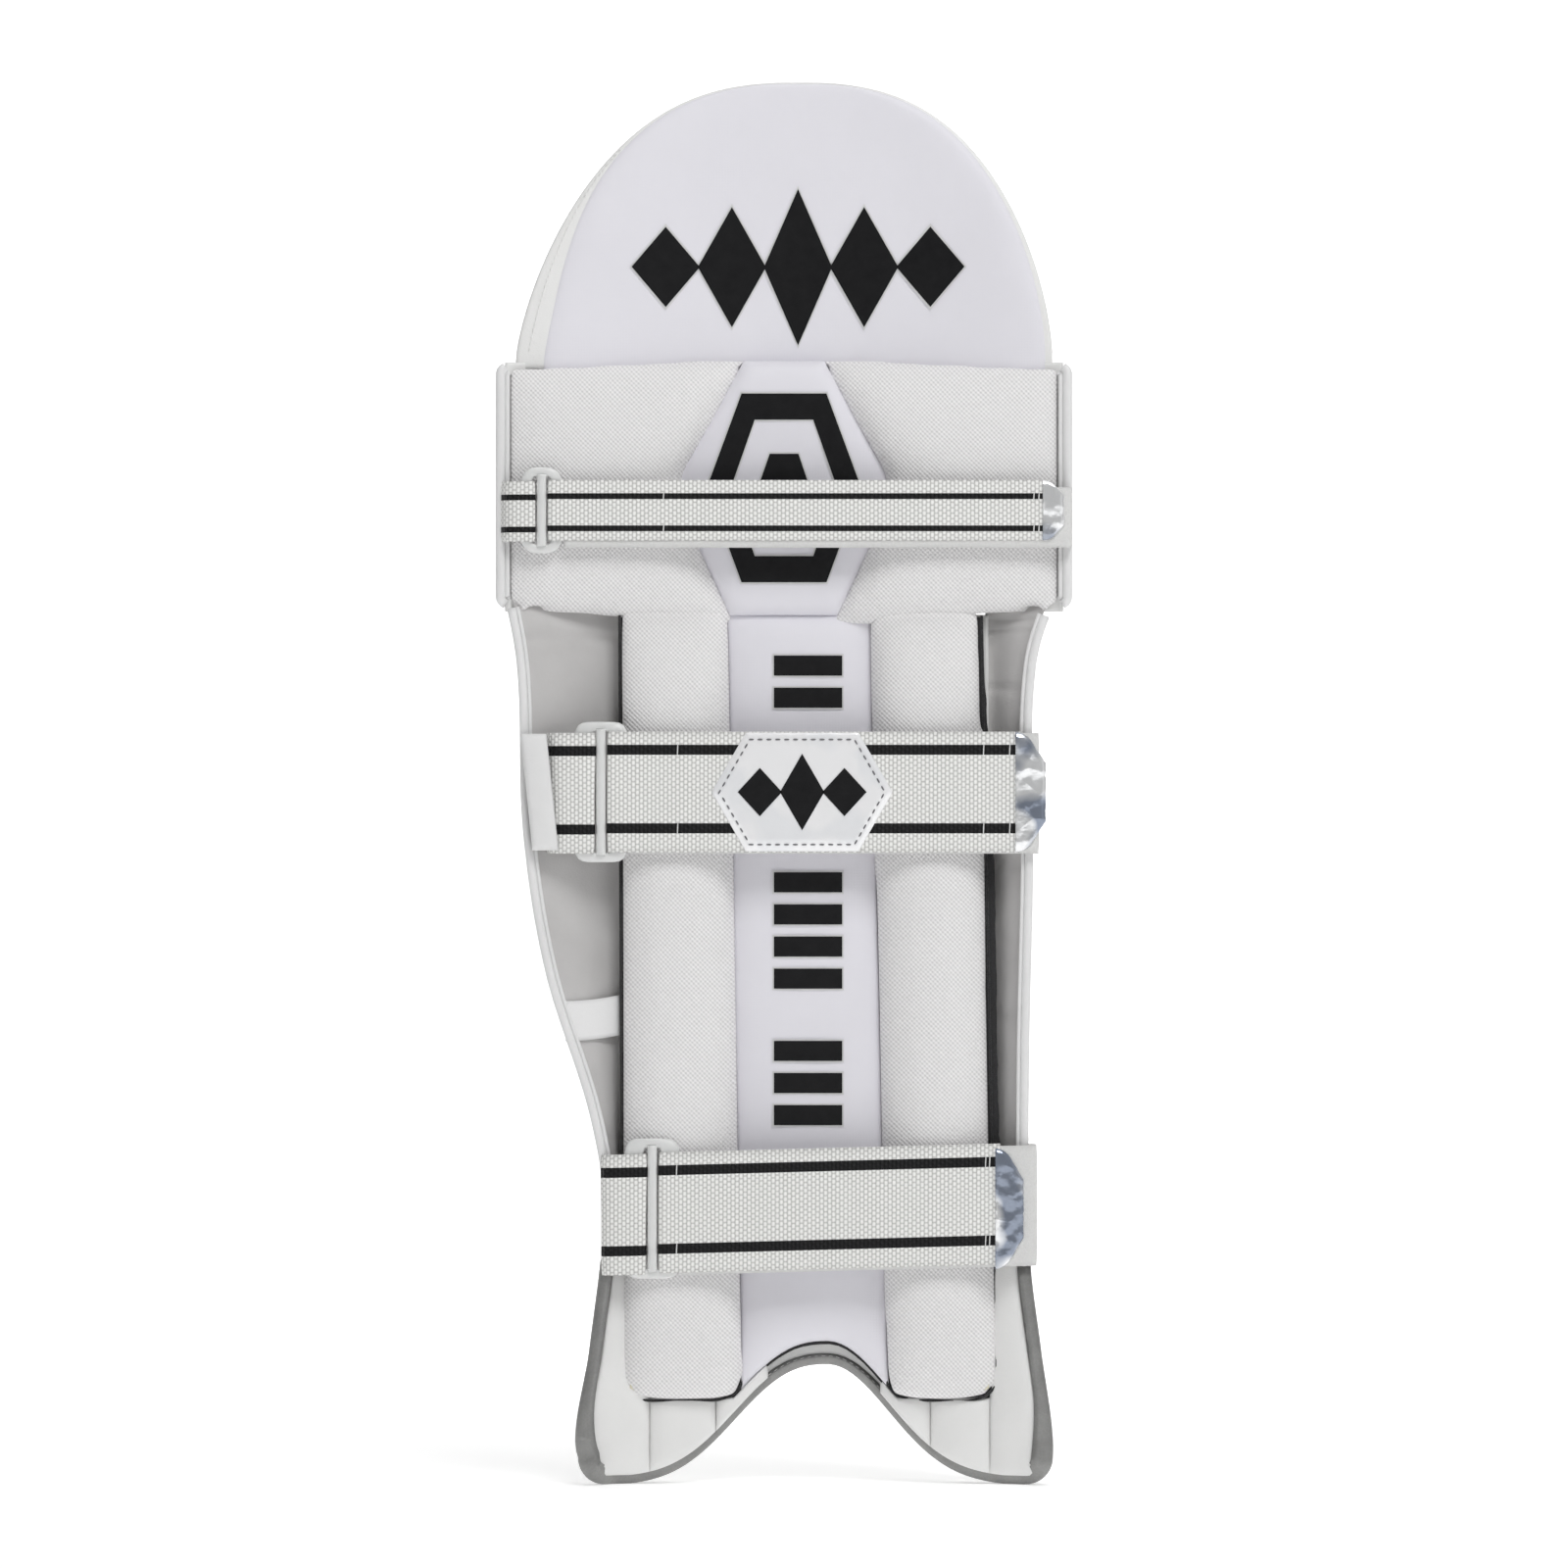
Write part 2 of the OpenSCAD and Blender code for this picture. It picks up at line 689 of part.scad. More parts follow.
// Strap: the run under the flap, and the turn of webbing that hooks over the ring's right bar
module strap(s) {
    z0 = z_of(s) - w_of(s) / 2;
    hook_r = bar_d / 2 + bar_gap;
    start = bar_x(s) + hook_r + bar_gap;
    hook_h = turn_h(s);
    color("whitesmoke") {
        translate([start, strap_y, z0])
            cube([fold_x(s) - fold_r - gap - start, web_t, w_of(s)]);
        translate([bar_x(s), bar_y, z_of(s) - hook_h / 2])
            rotate_extrude(angle = 90, start = 180)
                translate([hook_r, 0])
                    square([web_t, hook_h]);
        translate([bar_x(s), flap_y, z0])
            cube([peel_run - gap, web_t, w_of(s)]);
    }
}

module flap(s) {
    color("whitesmoke")
        translate([peel_x(s), flap_y, z_of(s) - w_of(s) / 2])
            cube([tip_x(s) - gap - peel_x(s), web_t, w_of(s)]);
}

// Hook patch: the last third of the flap, inside its edges
patch_inset = 3;
module hook_patch(s) {
    length = (tip_x(s) - bar_x(s)) / 3;
    color("dimgray")
        translate([tip_x(s) - patch_inset - length, patch_y, z_of(s) - w_of(s) / 2 + patch_inset])
            cube([length, patch_t, w_of(s) - 2 * patch_inset]);
}

// Foil tip with cut corners
module strap_tip(s) {
    h = w_of(s) / 2;
    run = end_x(s) - tip_x(s);
    cut_run = run * 0.6;
    cut_h = h * 0.7;
    color("silver")
        translate([tip_x(s), leg_plane + tip_t, z_of(s)])
            rotate([90, 0, 0])
                linear_extrude(tip_t)
                    polygon([[0, -h], [cut_run, -h], [run, -cut_h], [run, cut_h], [cut_run, h], [0, h]]);
}

// Hexagonal foil badge on the calf flap
badge_x = [-36, 54];
badge_half_h = (shin_strap_w - 1) / 2;
badge_slant = 17;
badge_t = 1.2;
module calf_badge() {
    color("lightsteelblue")
        translate([0, leg_plane + badge_t, z_of(calf_strap_at)])
            rotate([90, 0, 0])
                linear_extrude(badge_t)
                    polygon([[badge_x[0], 0], [badge_x[0] + badge_slant, badge_half_h],
                        [badge_x[1] - badge_slant, badge_half_h], [badge_x[1], 0],
                        [badge_x[1] - badge_slant, -badge_half_h], [badge_x[0] + badge_slant, -badge_half_h]]);
}

// White tab at the left wing, over the end of the calf loop
tab_x = -128;
tab_w = 13;
tab_h = 58;
tab_t = 1.4;
module calf_anchor_tab() {
    color("white")
        translate([tab_x, bar_y - eye_r - gap - tab_t, z_of(calf_strap_at) - tab_h / 2])
            cube([tab_w, tab_t, tab_h]);
}

// Outside of the right wing and of the knee, where the anchors are sewn, as [x, y] at each x
wing_gap = 2.6;
knee_gap = 0.6;
wing_outside = function(s)
    function(x) [x, leg_y(x, z_of(s)) + mix(wing_t, wing_edge_t, wing_share(x, z_of(s))) + wing_gap];
knee_outside = function(x) [x, face_y + face_t + knee_front_curve(x) + knee_gap];

shin_face_panel();
cane_channel(0);  // cane_channel_1
cane_channel(1);  // cane_channel_2
cane_channel(2);  // cane_channel_3
cane_channel(3);  // cane_channel_4
cane_channel(4);  // cane_channel_5
cane_channel(5);  // cane_channel_6
cane_channel(6);  // cane_channel_7
cane_rods();
shin_foam();
shin_lining();
outer_wing();
inner_wing();
outer_wing_piping();
inner_wing_piping();
instep_cells();
instep_binding();
knee_face_panel();
knee_foam();
knee_roll(0);  // knee_roll_1
knee_roll(1);  // knee_roll_2
knee_roll(2);  // knee_roll_3
knee_roll_cores();
left_knee_wing();
right_knee_wing();
knee_patch();
shin_bolster(bolster_l);  // left_shin_bolster
shin_bolster(bolster_r);  // right_shin_bolster
bolster_cores();
centre_shin_panel();
bolster_backing();
size_label();
top_hat_face();
top_hat_foam();
top_hat_lining();
top_hat_channels();
top_hat_piping();
buckle_loop(knee_strap_at);  // knee_buckle_loop
buckle(knee_strap_at);  // knee_buckle
strap_anchor(knee_strap_at, knee_outside);  // knee_strap_anchor
strap(knee_strap_at);  // knee_strap
flap(knee_strap_at);  // knee_flap
hook_patch(knee_strap_at);  // knee_hook_patch
strap_tip(knee_strap_at);  // knee_strap_tip
buckle_loop(calf_strap_at);  // calf_buckle_loop
calf_anchor_tab();
buckle(calf_strap_at);  // calf_buckle
strap_anchor(calf_strap_at, wing_outside(calf_strap_at));  // calf_strap_anchor
strap(calf_strap_at);  // calf_strap
flap(calf_strap_at);  // calf_flap
hook_patch(calf_strap_at);  // calf_hook_patch
strap_tip(calf_strap_at);  // calf_strap_tip
calf_badge();
buckle_loop(ankle_strap_at);  // ankle_buckle_loop
buckle(ankle_strap_at);  // ankle_buckle
strap_anchor(ankle_strap_at, wing_outside(ankle_strap_at));  // ankle_strap_anchor
strap(ankle_strap_at);  // ankle_strap
flap(ankle_strap_at);  // ankle_flap
hook_patch(ankle_strap_at);  // ankle_hook_patch
strap_tip(ankle_strap_at);  // ankle_strap_tip
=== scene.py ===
import json
import math

import bpy
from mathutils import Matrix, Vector, noise


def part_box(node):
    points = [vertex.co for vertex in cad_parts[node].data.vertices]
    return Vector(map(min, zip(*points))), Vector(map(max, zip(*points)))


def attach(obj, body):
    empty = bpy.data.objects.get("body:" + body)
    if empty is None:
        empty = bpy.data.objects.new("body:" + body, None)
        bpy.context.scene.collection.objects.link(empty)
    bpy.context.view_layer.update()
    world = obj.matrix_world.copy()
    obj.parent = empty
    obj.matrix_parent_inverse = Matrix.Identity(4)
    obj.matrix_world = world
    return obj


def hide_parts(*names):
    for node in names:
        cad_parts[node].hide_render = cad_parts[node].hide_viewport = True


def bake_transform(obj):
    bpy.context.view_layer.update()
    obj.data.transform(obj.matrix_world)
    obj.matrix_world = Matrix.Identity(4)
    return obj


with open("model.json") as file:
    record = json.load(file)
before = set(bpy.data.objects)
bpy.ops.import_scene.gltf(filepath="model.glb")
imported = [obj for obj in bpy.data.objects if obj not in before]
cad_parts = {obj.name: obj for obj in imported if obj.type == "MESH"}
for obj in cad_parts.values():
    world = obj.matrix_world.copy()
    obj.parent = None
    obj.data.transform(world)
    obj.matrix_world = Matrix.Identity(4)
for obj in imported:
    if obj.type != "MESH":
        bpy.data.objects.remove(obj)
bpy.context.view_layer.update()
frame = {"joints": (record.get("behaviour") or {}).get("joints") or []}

# Cricket leg pad: the looks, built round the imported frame.
# Shapes are worked out in millimetres in the frame's own axes and scaled once, in make_piece().
MM = 0.001
SCENE = bpy.context.scene


def box_mm(node):
    """Lowest and highest corner of a node of the frame, in millimetres."""
    low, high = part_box(node)
    return [v / MM for v in low], [v / MM for v in high]


# ---------------------------------------------------------------- outline, as the frame has it

PAD_TOP = box_mm("top_hat_piping")[1][2]
HALF_W = box_mm("inner_wing_piping")[1][0]
KNEE_LOW, KNEE_HIGH = box_mm("knee_foam")
SEAM_Z = KNEE_LOW[2] - 2
HAT_Z = KNEE_HIGH[2] + 2
LEFT_EDGE = [(-30, -80), (0, -96), (21, -104), (68, -97), (138, -90), (185, -97), (256, -119),
             (326, -130), (408, -133), (460, -143)]
RIGHT_EDGE = [(-30, 118), (0, 131), (21, 134), (68, 128), (115, 122.5), (209, 122), (302, 124),
              (408, 125.5), (460, 143)]
CORE_L, CORE_R = box_mm("shin_lining")[0][0], box_mm("shin_lining")[1][0]
CORE_X = (CORE_L + CORE_R) / 2
CORE_HALF = (CORE_R - CORE_L) / 2
LINING_Y = -19
FACE_Y = 10
CUSHION_Y = box_mm("left_knee_wing")[0][1]
CORE_BOW, WING_BOW, KNEE_BOW = 10, 16, 22
ARCH_H, ARCH_X, ARCH_WL, ARCH_WR = 60, 21.6, 56, 43.5
TOE_ROUND = 14
BINDING_TOP = 112
HAT_LEAN = 7
HAT_HALF = 134
CHANNELS = 7
MID_SHIN_Z = 250


def mix(a, b, k):
    return a + (b - a) * k


def clamp(value, low=0.0, high=1.0):
    return max(low, min(high, value))


def ramp(start, end, value):
    """Smooth step from 0 at start to 1 at end."""
    k = clamp((value - start) / (end - start))
    return k * k * (3 - 2 * k)


def bell(offset, width):
    return math.exp(-(offset / width) ** 2)


def angles(start, end, step):
    """Angles in radians, from start to before end, in steps given in degrees."""
    return [math.radians(a) for a in range(start, end, step)]


def oval(half_w, half_h, step=30):
    """Points round an ellipse, one every step degrees."""
    return [(half_w * math.cos(t), half_h * math.sin(t)) for t in angles(0, 360, step)]


def heading(path, i, axis):
    """Unit direction of a path at its point i, seen along x and one other axis."""
    before, after = path[max(0, i - 1)], path[min(len(path) - 1, i + 1)]
    run, rise = after[0] - before[0], after[axis] - before[axis]
    size = math.hypot(run, rise) or 1
    return run / size, rise / size


def centre_of(low, high):
    return [(a + b) / 2 for a, b in zip(low, high)]


def curve_at(points, at):
    """Smooth curve through (position, value) points."""
    i = 1
    while i < len(points) - 2 and at >= points[i + 1][0]:
        i += 1
    p0, p1, p2, p3 = points[i - 1], points[i], points[i + 1], points[min(i + 2, len(points) - 1)]
    run = p2[0] - p1[0]
    k = (at - p1[0]) / run
    m1 = (p2[1] - p0[1]) / (p2[0] - p0[0]) * run
    m2 = (p3[1] - p1[1]) / (p3[0] - p1[0]) * run
    return ((2 * k ** 3 - 3 * k ** 2 + 1) * p1[1] + (k ** 3 - 2 * k ** 2 + k) * m1
            + (3 * k ** 2 - 2 * k ** 3) * p2[1] + (k ** 3 - k ** 2) * m2)


def left_edge(z):
    return curve_at(LEFT_EDGE, z)


def right_edge(z):
    return curve_at(RIGHT_EDGE, z)


TOE_L, TOE_R = left_edge(TOE_ROUND), right_edge(TOE_ROUND)


def arch_z(x):
    power, width = (2.5, ARCH_WL) if x < ARCH_X else (2, ARCH_WR)
    return ARCH_H * math.exp(-(abs(x - ARCH_X) / width) ** power) - 1


def round_rise(inset, radius):
    """Height of a quarter-round corner above its flat side, at a distance from its upright side."""
    return 0 if inset >= radius else radius - math.sqrt(radius ** 2 - (radius - max(0, inset)) ** 2)


def toe_z(inset):
    return round_rise(inset, TOE_ROUND)


def low_z(x):
    return max(arch_z(x), toe_z(x - TOE_L), toe_z(TOE_R - x))


def leg_y(x, z):
    """Depth of the leg side: bowed in the middle, turned up along the wings."""
    if x < CORE_L:
        share = (CORE_L - x) / (CORE_L - left_edge(z))
    else:
        share = max(0, (x - CORE_R) / (right_edge(z) - CORE_R))
    return LINING_Y - CORE_BOW * min(1, abs((x - CORE_X) / CORE_HALF)) ** 2 - WING_BOW * min(1, share) ** 1.4


def knee_y(x):
    return LINING_Y - KNEE_BOW * (x / HALF_W) ** 2


def knee_front_y(x):
    return FACE_Y - 1.8 * KNEE_BOW * abs(x / HALF_W) ** 2.2


def hat_half_at(k):
    return HAT_HALF * max(0, 1 - k ** 1.5) ** 0.385


def crown(u, v, edge=0.0, pu=3.0, pv=3.0):
    """Share of a cushion's full thickness, from its edge to its crown."""
    round_u = 1 - abs(2 * u - 1) ** pu
    round_v = 1 - abs(2 * v - 1) ** pv
    return edge + (1 - edge) * math.sqrt(max(0, round_u * round_v))


def wrinkle(x, z, size, seed=0):
    """Smooth noise between about -1 and 1, over a size in millimetres."""
    return noise.noise(Vector((x / size, z / size, seed * 7.3)))


# ---------------------------------------------------------------- materials

def add(tree, kind, **inputs):
    node = tree.nodes.new(kind)
    for name, value in inputs.items():
        socket = node.inputs[int(name[1:])] if name[0] == "i" and name[1:].isdigit() else node.inputs[name]
        if isinstance(value, bpy.types.NodeSocket):
            tree.links.new(value, socket)
        else:
            socket.default_value = value
    return node


def calc(tree, operation, a, b=0.0, c=0.0):
    node = add(tree, "ShaderNodeMath", i0=a, i1=b, i2=c)
    node.operation = operation
    return node.outputs[0]


def blend_colours(tree, factor, dark, light):
    """Mix of two colours, each an RGB triple or the output of another node."""
    node = tree.nodes.new("ShaderNodeMix")
    node.data_type = "RGBA"
    tree.links.new(factor, node.inputs["Factor"])
    for name, colour in (("A", dark), ("B", light)):
        if isinstance(colour, tuple):
            node.inputs[name].default_value = (*colour, 1)
        else:
            tree.links.new(colour, node.inputs[name])
    return node.outputs["Result"]


def noise_at(tree, vector, scale, detail=3.0, roughness=0.5):
    return add(tree, "ShaderNodeTexNoise", Vector=vector, Scale=scale, Detail=detail,
               Roughness=roughness).outputs["Fac"]


def add_bump(tree, shader, height, distance, strength=1.0, below=None):
    bump = add(tree, "ShaderNodeBump", Height=height, Distance=distance, Strength=strength)
    if below is not None:
        tree.links.new(below, bump.inputs["Normal"])
    tree.links.new(bump.outputs["Normal"], shader.inputs["Normal"])
    return bump.outputs["Normal"]


def new_material(name, colour, roughness, **settings):
    material = bpy.data.materials.new(name)
    material.use_nodes = True
    shader = material.node_tree.nodes["Principled BSDF"]
    shader.inputs["Base Color"].default_value = (*colour, 1)
    shader.inputs["Roughness"].default_value = roughness
    for setting, value in settings.items():
        shader.inputs[setting.replace("_", " ")].default_value = value
    return material, material.node_tree, shader


def place_of(tree):
    return tree.nodes.new("ShaderNodeTexCoord").outputs["Object"]


def paint(tree, shader, factor, dark, light):
    tree.links.new(blend_colours(tree, factor, dark, light), shader.inputs["Base Color"])


def mottle(tree, shader, place, dark, light, scale, detail=3.0, roughness=0.5):
    """Colour a shader by noise, and return the noise."""
    tone = noise_at(tree, place, scale, detail, roughness)
    paint(tree, shader, tone, dark, light)
    return tone


def leather_material(name, dark, light, roughness=0.42):
    """Coated cloth: fine pebble grain, faint creases and a slow change of tone."""
    material, tree, shader = new_material(name, light, roughness, Specular_IOR_Level=0.35)
    place = place_of(tree)
    mottle(tree, shader, place, dark, light, 28, 4)
    pebbles = add(tree, "ShaderNodeTexVoronoi", Vector=place, Scale=1100.0).outputs["Distance"]
    first = add_bump(tree, shader, pebbles, 0.00012, 0.5)
    add_bump(tree, shader, noise_at(tree, place, 90, 5, 0.6), 0.0012, 0.35, first)
    rough = calc(tree, "MULTIPLY_ADD", noise_at(tree, place, 60), 0.18, roughness - 0.09)
    tree.links.new(rough, shader.inputs["Roughness"])
    return material


def satin_material(name, dark, light):
    """Smooth close-woven lining with a soft sheen."""
    material, tree, shader = new_material(name, light, 0.55, Sheen_Weight=0.25, Sheen_Roughness=0.4)
    place = place_of(tree)
    mottle(tree, shader, place, dark, light, 14)
    threads = []
    for direction in "XZ":
        wave = add(tree, "ShaderNodeTexWave", Vector=place, Scale=420.0, Distortion=0.6)
        wave.bands_direction = direction
        threads.append(wave.outputs["Fac"])
    first = add_bump(tree, shader, calc(tree, "MULTIPLY", *threads), 0.00008, 0.5)
    add_bump(tree, shader, noise_at(tree, place, 26, 4), 0.002, 0.25, first)
    return material


def mesh_fabric_material():
    """Air mesh: staggered diagonal ribs about 2 mm apart, with painted shade in their hollows."""
    material, tree, shader = new_material("mesh_fabric", (0.85, 0.84, 0.84), 0.75, Sheen_Weight=0.3,
                                          Sheen_Roughness=0.5)
    place = place_of(tree)
    x, _, z = add(tree, "ShaderNodeSeparateXYZ", Vector=place).outputs
    turn = 2 * math.pi / 0.0023
    drift = calc(tree, "MULTIPLY", noise_at(tree, place, 18, 2), 9.0)
    rib = calc(tree, "SINE", calc(tree, "MULTIPLY_ADD", calc(tree, "ADD", x, z), turn, drift))
    cut = calc(tree, "SINE", calc(tree, "MULTIPLY_ADD", calc(tree, "SUBTRACT", x, z), turn * 0.96, drift))
    both = calc(tree, "MULTIPLY_ADD", rib, 0.62, calc(tree, "MULTIPLY", cut, 0.38))
    height = calc(tree, "POWER", calc(tree, "MULTIPLY_ADD", both, 0.5, 0.5), 0.8)
    # Painted shade: the rib height darkens the colour in the hollows and lightens it on the tops.
    paint(tree, shader, height, (0.7, 0.69, 0.695), (0.985, 0.975, 0.975))
    first = add_bump(tree, shader, height, 0.0005, 0.75)
    add_bump(tree, shader, noise_at(tree, place, 45, 4), 0.0015, 0.3, first)
    return material


def webbing_material(name, lines, line_w):
    """Woven webbing: staggered beads in columns across it, with painted shade between the beads, and two
    black lines along it.
    The UV map runs along and across the webbing, in centimetres."""
    material, tree, shader = new_material(name, (0.86, 0.86, 0.84), 0.5, Specular_IOR_Level=0.25)
    place = tree.nodes.new("ShaderNodeTexCoord").outputs["UV"]
    lengthways, across, _ = add(tree, "ShaderNodeSeparateXYZ", Vector=place).outputs
    column = calc(tree, "DIVIDE", lengthways, 0.2)
    odd = calc(tree, "MULTIPLY", calc(tree, "MODULO", calc(tree, "FLOOR", column), 2.0), 0.5)
    bead = calc(tree, "ADD", calc(tree, "DIVIDE", across, 0.27), odd)
    wave_u, wave_v = (calc(tree, "SINE", calc(tree, "MULTIPLY", calc(tree, "FRACT", part), math.pi))
                      for part in (column, bead))
    bulge = calc(tree, "POWER", calc(tree, "MULTIPLY", wave_u, wave_v), 0.6)
    # Painted shade and highlight: each bead is coloured lighter at its crown and darker between beads, and
    # the glint noise brightens some beads as painted glints.
    glint = noise_at(tree, place, 9, 4, 0.8)
    tone = calc(tree, "MULTIPLY", bulge, calc(tree, "MULTIPLY_ADD", glint, 1.1, 0.62))
    white = blend_colours(tree, tone, (0.56, 0.56, 0.54), (1.0, 1.0, 0.98))
    # The black lines get a faint painted shade between their ribs.
    black = blend_colours(tree, wave_u, (0.001, 0.001, 0.001), (0.008, 0.008, 0.009))
    on_line = [calc(tree, "COMPARE", across, line / 10, line_w / 20) for line in lines]
    paint(tree, shader, calc(tree, "MAXIMUM", *on_line), white, black)
    add_bump(tree, shader, bulge, 0.0006, 0.8)
    return material


def fuzzy_material(name, dark, light, scale, depth):
    """Pile, hook tape, foam or coarse cloth: mottled colour and a rough nap."""
    material, tree, shader = new_material(name, light, 0.85, Sheen_Weight=0.3)
    nap = mottle(tree, shader, place_of(tree), dark, light, scale, 6, 0.7)
    add_bump(tree, shader, nap, depth, 0.8)
    return material


def silver_material():
    """Metallic coated cloth of the binding."""
    material, tree, shader = new_material("silver_binding", (0.4, 0.4, 0.4), 0.45, Metallic=0.55)
    place = place_of(tree)
    flake = noise_at(tree, place, 900, 3, 0.6)
    slow = noise_at(tree, place, 70, 5, 0.65)
    tone = calc(tree, "MULTIPLY_ADD", slow, 0.7, calc(tree, "MULTIPLY", flake, 0.3))
    paint(tree, shader, tone, (0.16, 0.16, 0.157), (0.42, 0.42, 0.41))
    first = add_bump(tree, shader, flake, 0.0002, 0.5)
    add_bump(tree, shader, noise_at(tree, place, 120, 4), 0.0015, 0.4, first)
    return material


def foil_material(name, dark, light, crumple, metallic):
    """Mirror foil over a soft core: painted reflections as brighter and darker patches, and creased facets
    in its bump.
    """
    material, tree, shader = new_material(name, light, 0.16, Metallic=metallic)
    place = place_of(tree)
    # Painted reflection: noise splits the foil into light and dark patches.
    tone = add(tree, "ShaderNodeMapRange", Value=noise_at(tree, place, 42, 2, 0.4), i1=0.4, i2=0.5)
    paint(tree, shader, tone.outputs[0], dark, light)
    facets = add(tree, "ShaderNodeTexVoronoi", Vector=place, Scale=90.0).outputs["Distance"]
    first = add_bump(tree, shader, facets, crumple, 0.6)
    add_bump(tree, shader, noise_at(tree, place, 120), crumple, 0.4, first)
    return material


def plastic_material():
    """Milky clear moulded plastic."""
    material, tree, shader = new_material("clear_plastic", (0.86, 0.87, 0.86), 0.3, Transmission_Weight=0.12,
                                          IOR=1.46, Subsurface_Weight=0.3,
                                          Subsurface_Radius=(0.004, 0.004, 0.004))
    place = place_of(tree)
    mottle(tree, shader, place, (0.8, 0.81, 0.8), (0.9, 0.905, 0.9), 120)
    add_bump(tree, shader, noise_at(tree, place, 300), 0.0004, 0.3)
    return material


def wood_material():
    """Cane, with its grain drawn out along z."""
    material, tree, shader = new_material("cane", (0.6, 0.42, 0.22), 0.6)
    stretch = add(tree, "ShaderNodeMapping", Vector=place_of(tree), Scale=(1, 1, 0.04))
    grain = mottle(tree, shader, stretch.outputs[0], (0.42, 0.27, 0.12), (0.72, 0.55, 0.32), 900, 5)
    add_bump(tree, shader, grain, 0.0003, 0.5)
    return material


def print_material(name, dark, light, roughness=0.5):
    """Flexible ink, slightly uneven."""
    material, tree, shader = new_material(name, light, roughness, Specular_IOR_Level=0.2)
    place = place_of(tree)
    mottle(tree, shader, place, dark, light, 160, 4)
    add_bump(tree, shader, noise_at(tree, place, 700), 0.0002, 0.4)
    return material


PU = leather_material("white_pu", (0.8, 0.8, 0.79), (0.9, 0.9, 0.89))
# Painted shade: the leg side of both wings gets this darker grey coated cloth in place of the shade that
# falls inside the wings.
SHADED_WING_PU = leather_material("wing_painted_shade_pu", (0.5, 0.49, 0.485), (0.66, 0.65, 0.645), 0.5)
PIPING = leather_material("piping_pu", (0.76, 0.76, 0.76), (0.88, 0.88, 0.88), 0.38)
SATIN = satin_material("smooth_lining", (0.78, 0.77, 0.82), (0.86, 0.85, 0.9))
MESH = mesh_fabric_material()
WIDE_WEB = webbing_material("wide_webbing", (12, 51), 5.0)
NARROW_WEB = webbing_material("narrow_webbing", (6, 22), 2.9)
PILE = fuzzy_material("loop_pile", (0.66, 0.66, 0.65), (0.86, 0.86, 0.85), 900, 0.0006)
HOOKS = fuzzy_material("hook_tape", (0.55, 0.55, 0.55), (0.8, 0.8, 0.8), 1400, 0.0006)
BACKING = fuzzy_material("black_backing", (0.006, 0.006, 0.007), (0.03, 0.03, 0.032), 700, 0.0008)
SILVER = silver_material()
# Painted reflection: the tip foil's blue-grey and white patches, and the badge foil's faint ones, stand for
# what the mirror foil reflects.
FOIL = foil_material("tip_foil", (0.3, 0.34, 0.42), (0.95, 0.96, 0.97), 0.0012, 0.6)
BADGE_FOIL = foil_material("badge_foil", (0.92, 0.93, 0.95), (0.98, 0.98, 0.99), 0.0001, 0.15)
PLASTIC = plastic_material()
FOAM = fuzzy_material("foam", (0.62, 0.58, 0.42), (0.86, 0.82, 0.66), 500, 0.001)
CANE = wood_material()
INK = print_material("black_print", (0.004, 0.004, 0.005), (0.012, 0.012, 0.013), 0.42)
INK_EDGE = print_material("print_edge", (0.6, 0.6, 0.6), (0.8, 0.8, 0.8))
LABEL = fuzzy_material("label_cloth", (0.84, 0.84, 0.84), (0.93, 0.93, 0.93), 1600, 0.0002)
THREAD = print_material("white_thread", (0.75, 0.75, 0.74), (0.92, 0.92, 0.91), 0.6)
GREY_THREAD = print_material("grey_thread", (0.12, 0.12, 0.13), (0.25, 0.25, 0.26), 0.6)


# ---------------------------------------------------------------- mesh builders

def make_piece(name, points, faces, material, uvs=None):
    mesh = bpy.data.meshes.new(name)
    mesh.from_pydata([[c * MM for c in p] for p in points], [], faces)
    mesh.materials.append(material)
    for face in mesh.polygons:
        face.use_smooth = True
    if uvs:
        layer = mesh.uv_layers.new(name="UVMap")
        for loop in mesh.loops:
            layer.data[loop.index].uv = uvs[loop.vertex_index]
    mesh.update()
    piece = bpy.data.objects.new(name, mesh)
    SCENE.collection.objects.link(piece)
    return piece


def join_parts(name, parts, material):
    """One piece out of several (points, faces) parts."""
    points, faces = [], []
    for part_points, part_faces in parts:
        start = len(points)
        points += part_points
        faces += [[start + i for i in face] for face in part_faces]
    return make_piece(name, points, faces, material)


def shell_faces(cols, rows):
    """Faces of a closed solid that has a grid of points on its leg side, then one on its other side."""
    row = cols + 1
    n = row * (rows + 1)
    faces = []
    for j in range(rows):
        for i in range(cols):
            a = j * row + i
            faces.append([a, a + 1, a + row + 1, a + row])
            faces.append([n + a, n + a + row, n + a + row + 1, n + a + 1])
    for i in range(cols):
        t = rows * row + i
        faces.append([i, n + i, n + i + 1, i + 1])
        faces.append([t, t + 1, n + t + 1, n + t])
    for j in range(rows):
        a, b = j * row, j * row + cols
        faces.append([a, a + row, n + a + row, n + a])
        faces.append([b, n + b, n + b + row, b + row])
    return faces


def solid_of(spot, cols, rows):
    """Closed solid from spot(u, v), which gives a point of its leg side and one of its other side."""
    pairs = [spot(i / cols, j / rows) for j in range(rows + 1) for i in range(cols + 1)]
    return [p[0] for p in pairs] + [p[1] for p in pairs], shell_faces(cols, rows)


def spaced(k, amount=0.7):
    """Even steps drawn towards both ends."""
    return mix(k, 0.5 - 0.5 * math.cos(math.pi * k), amount)


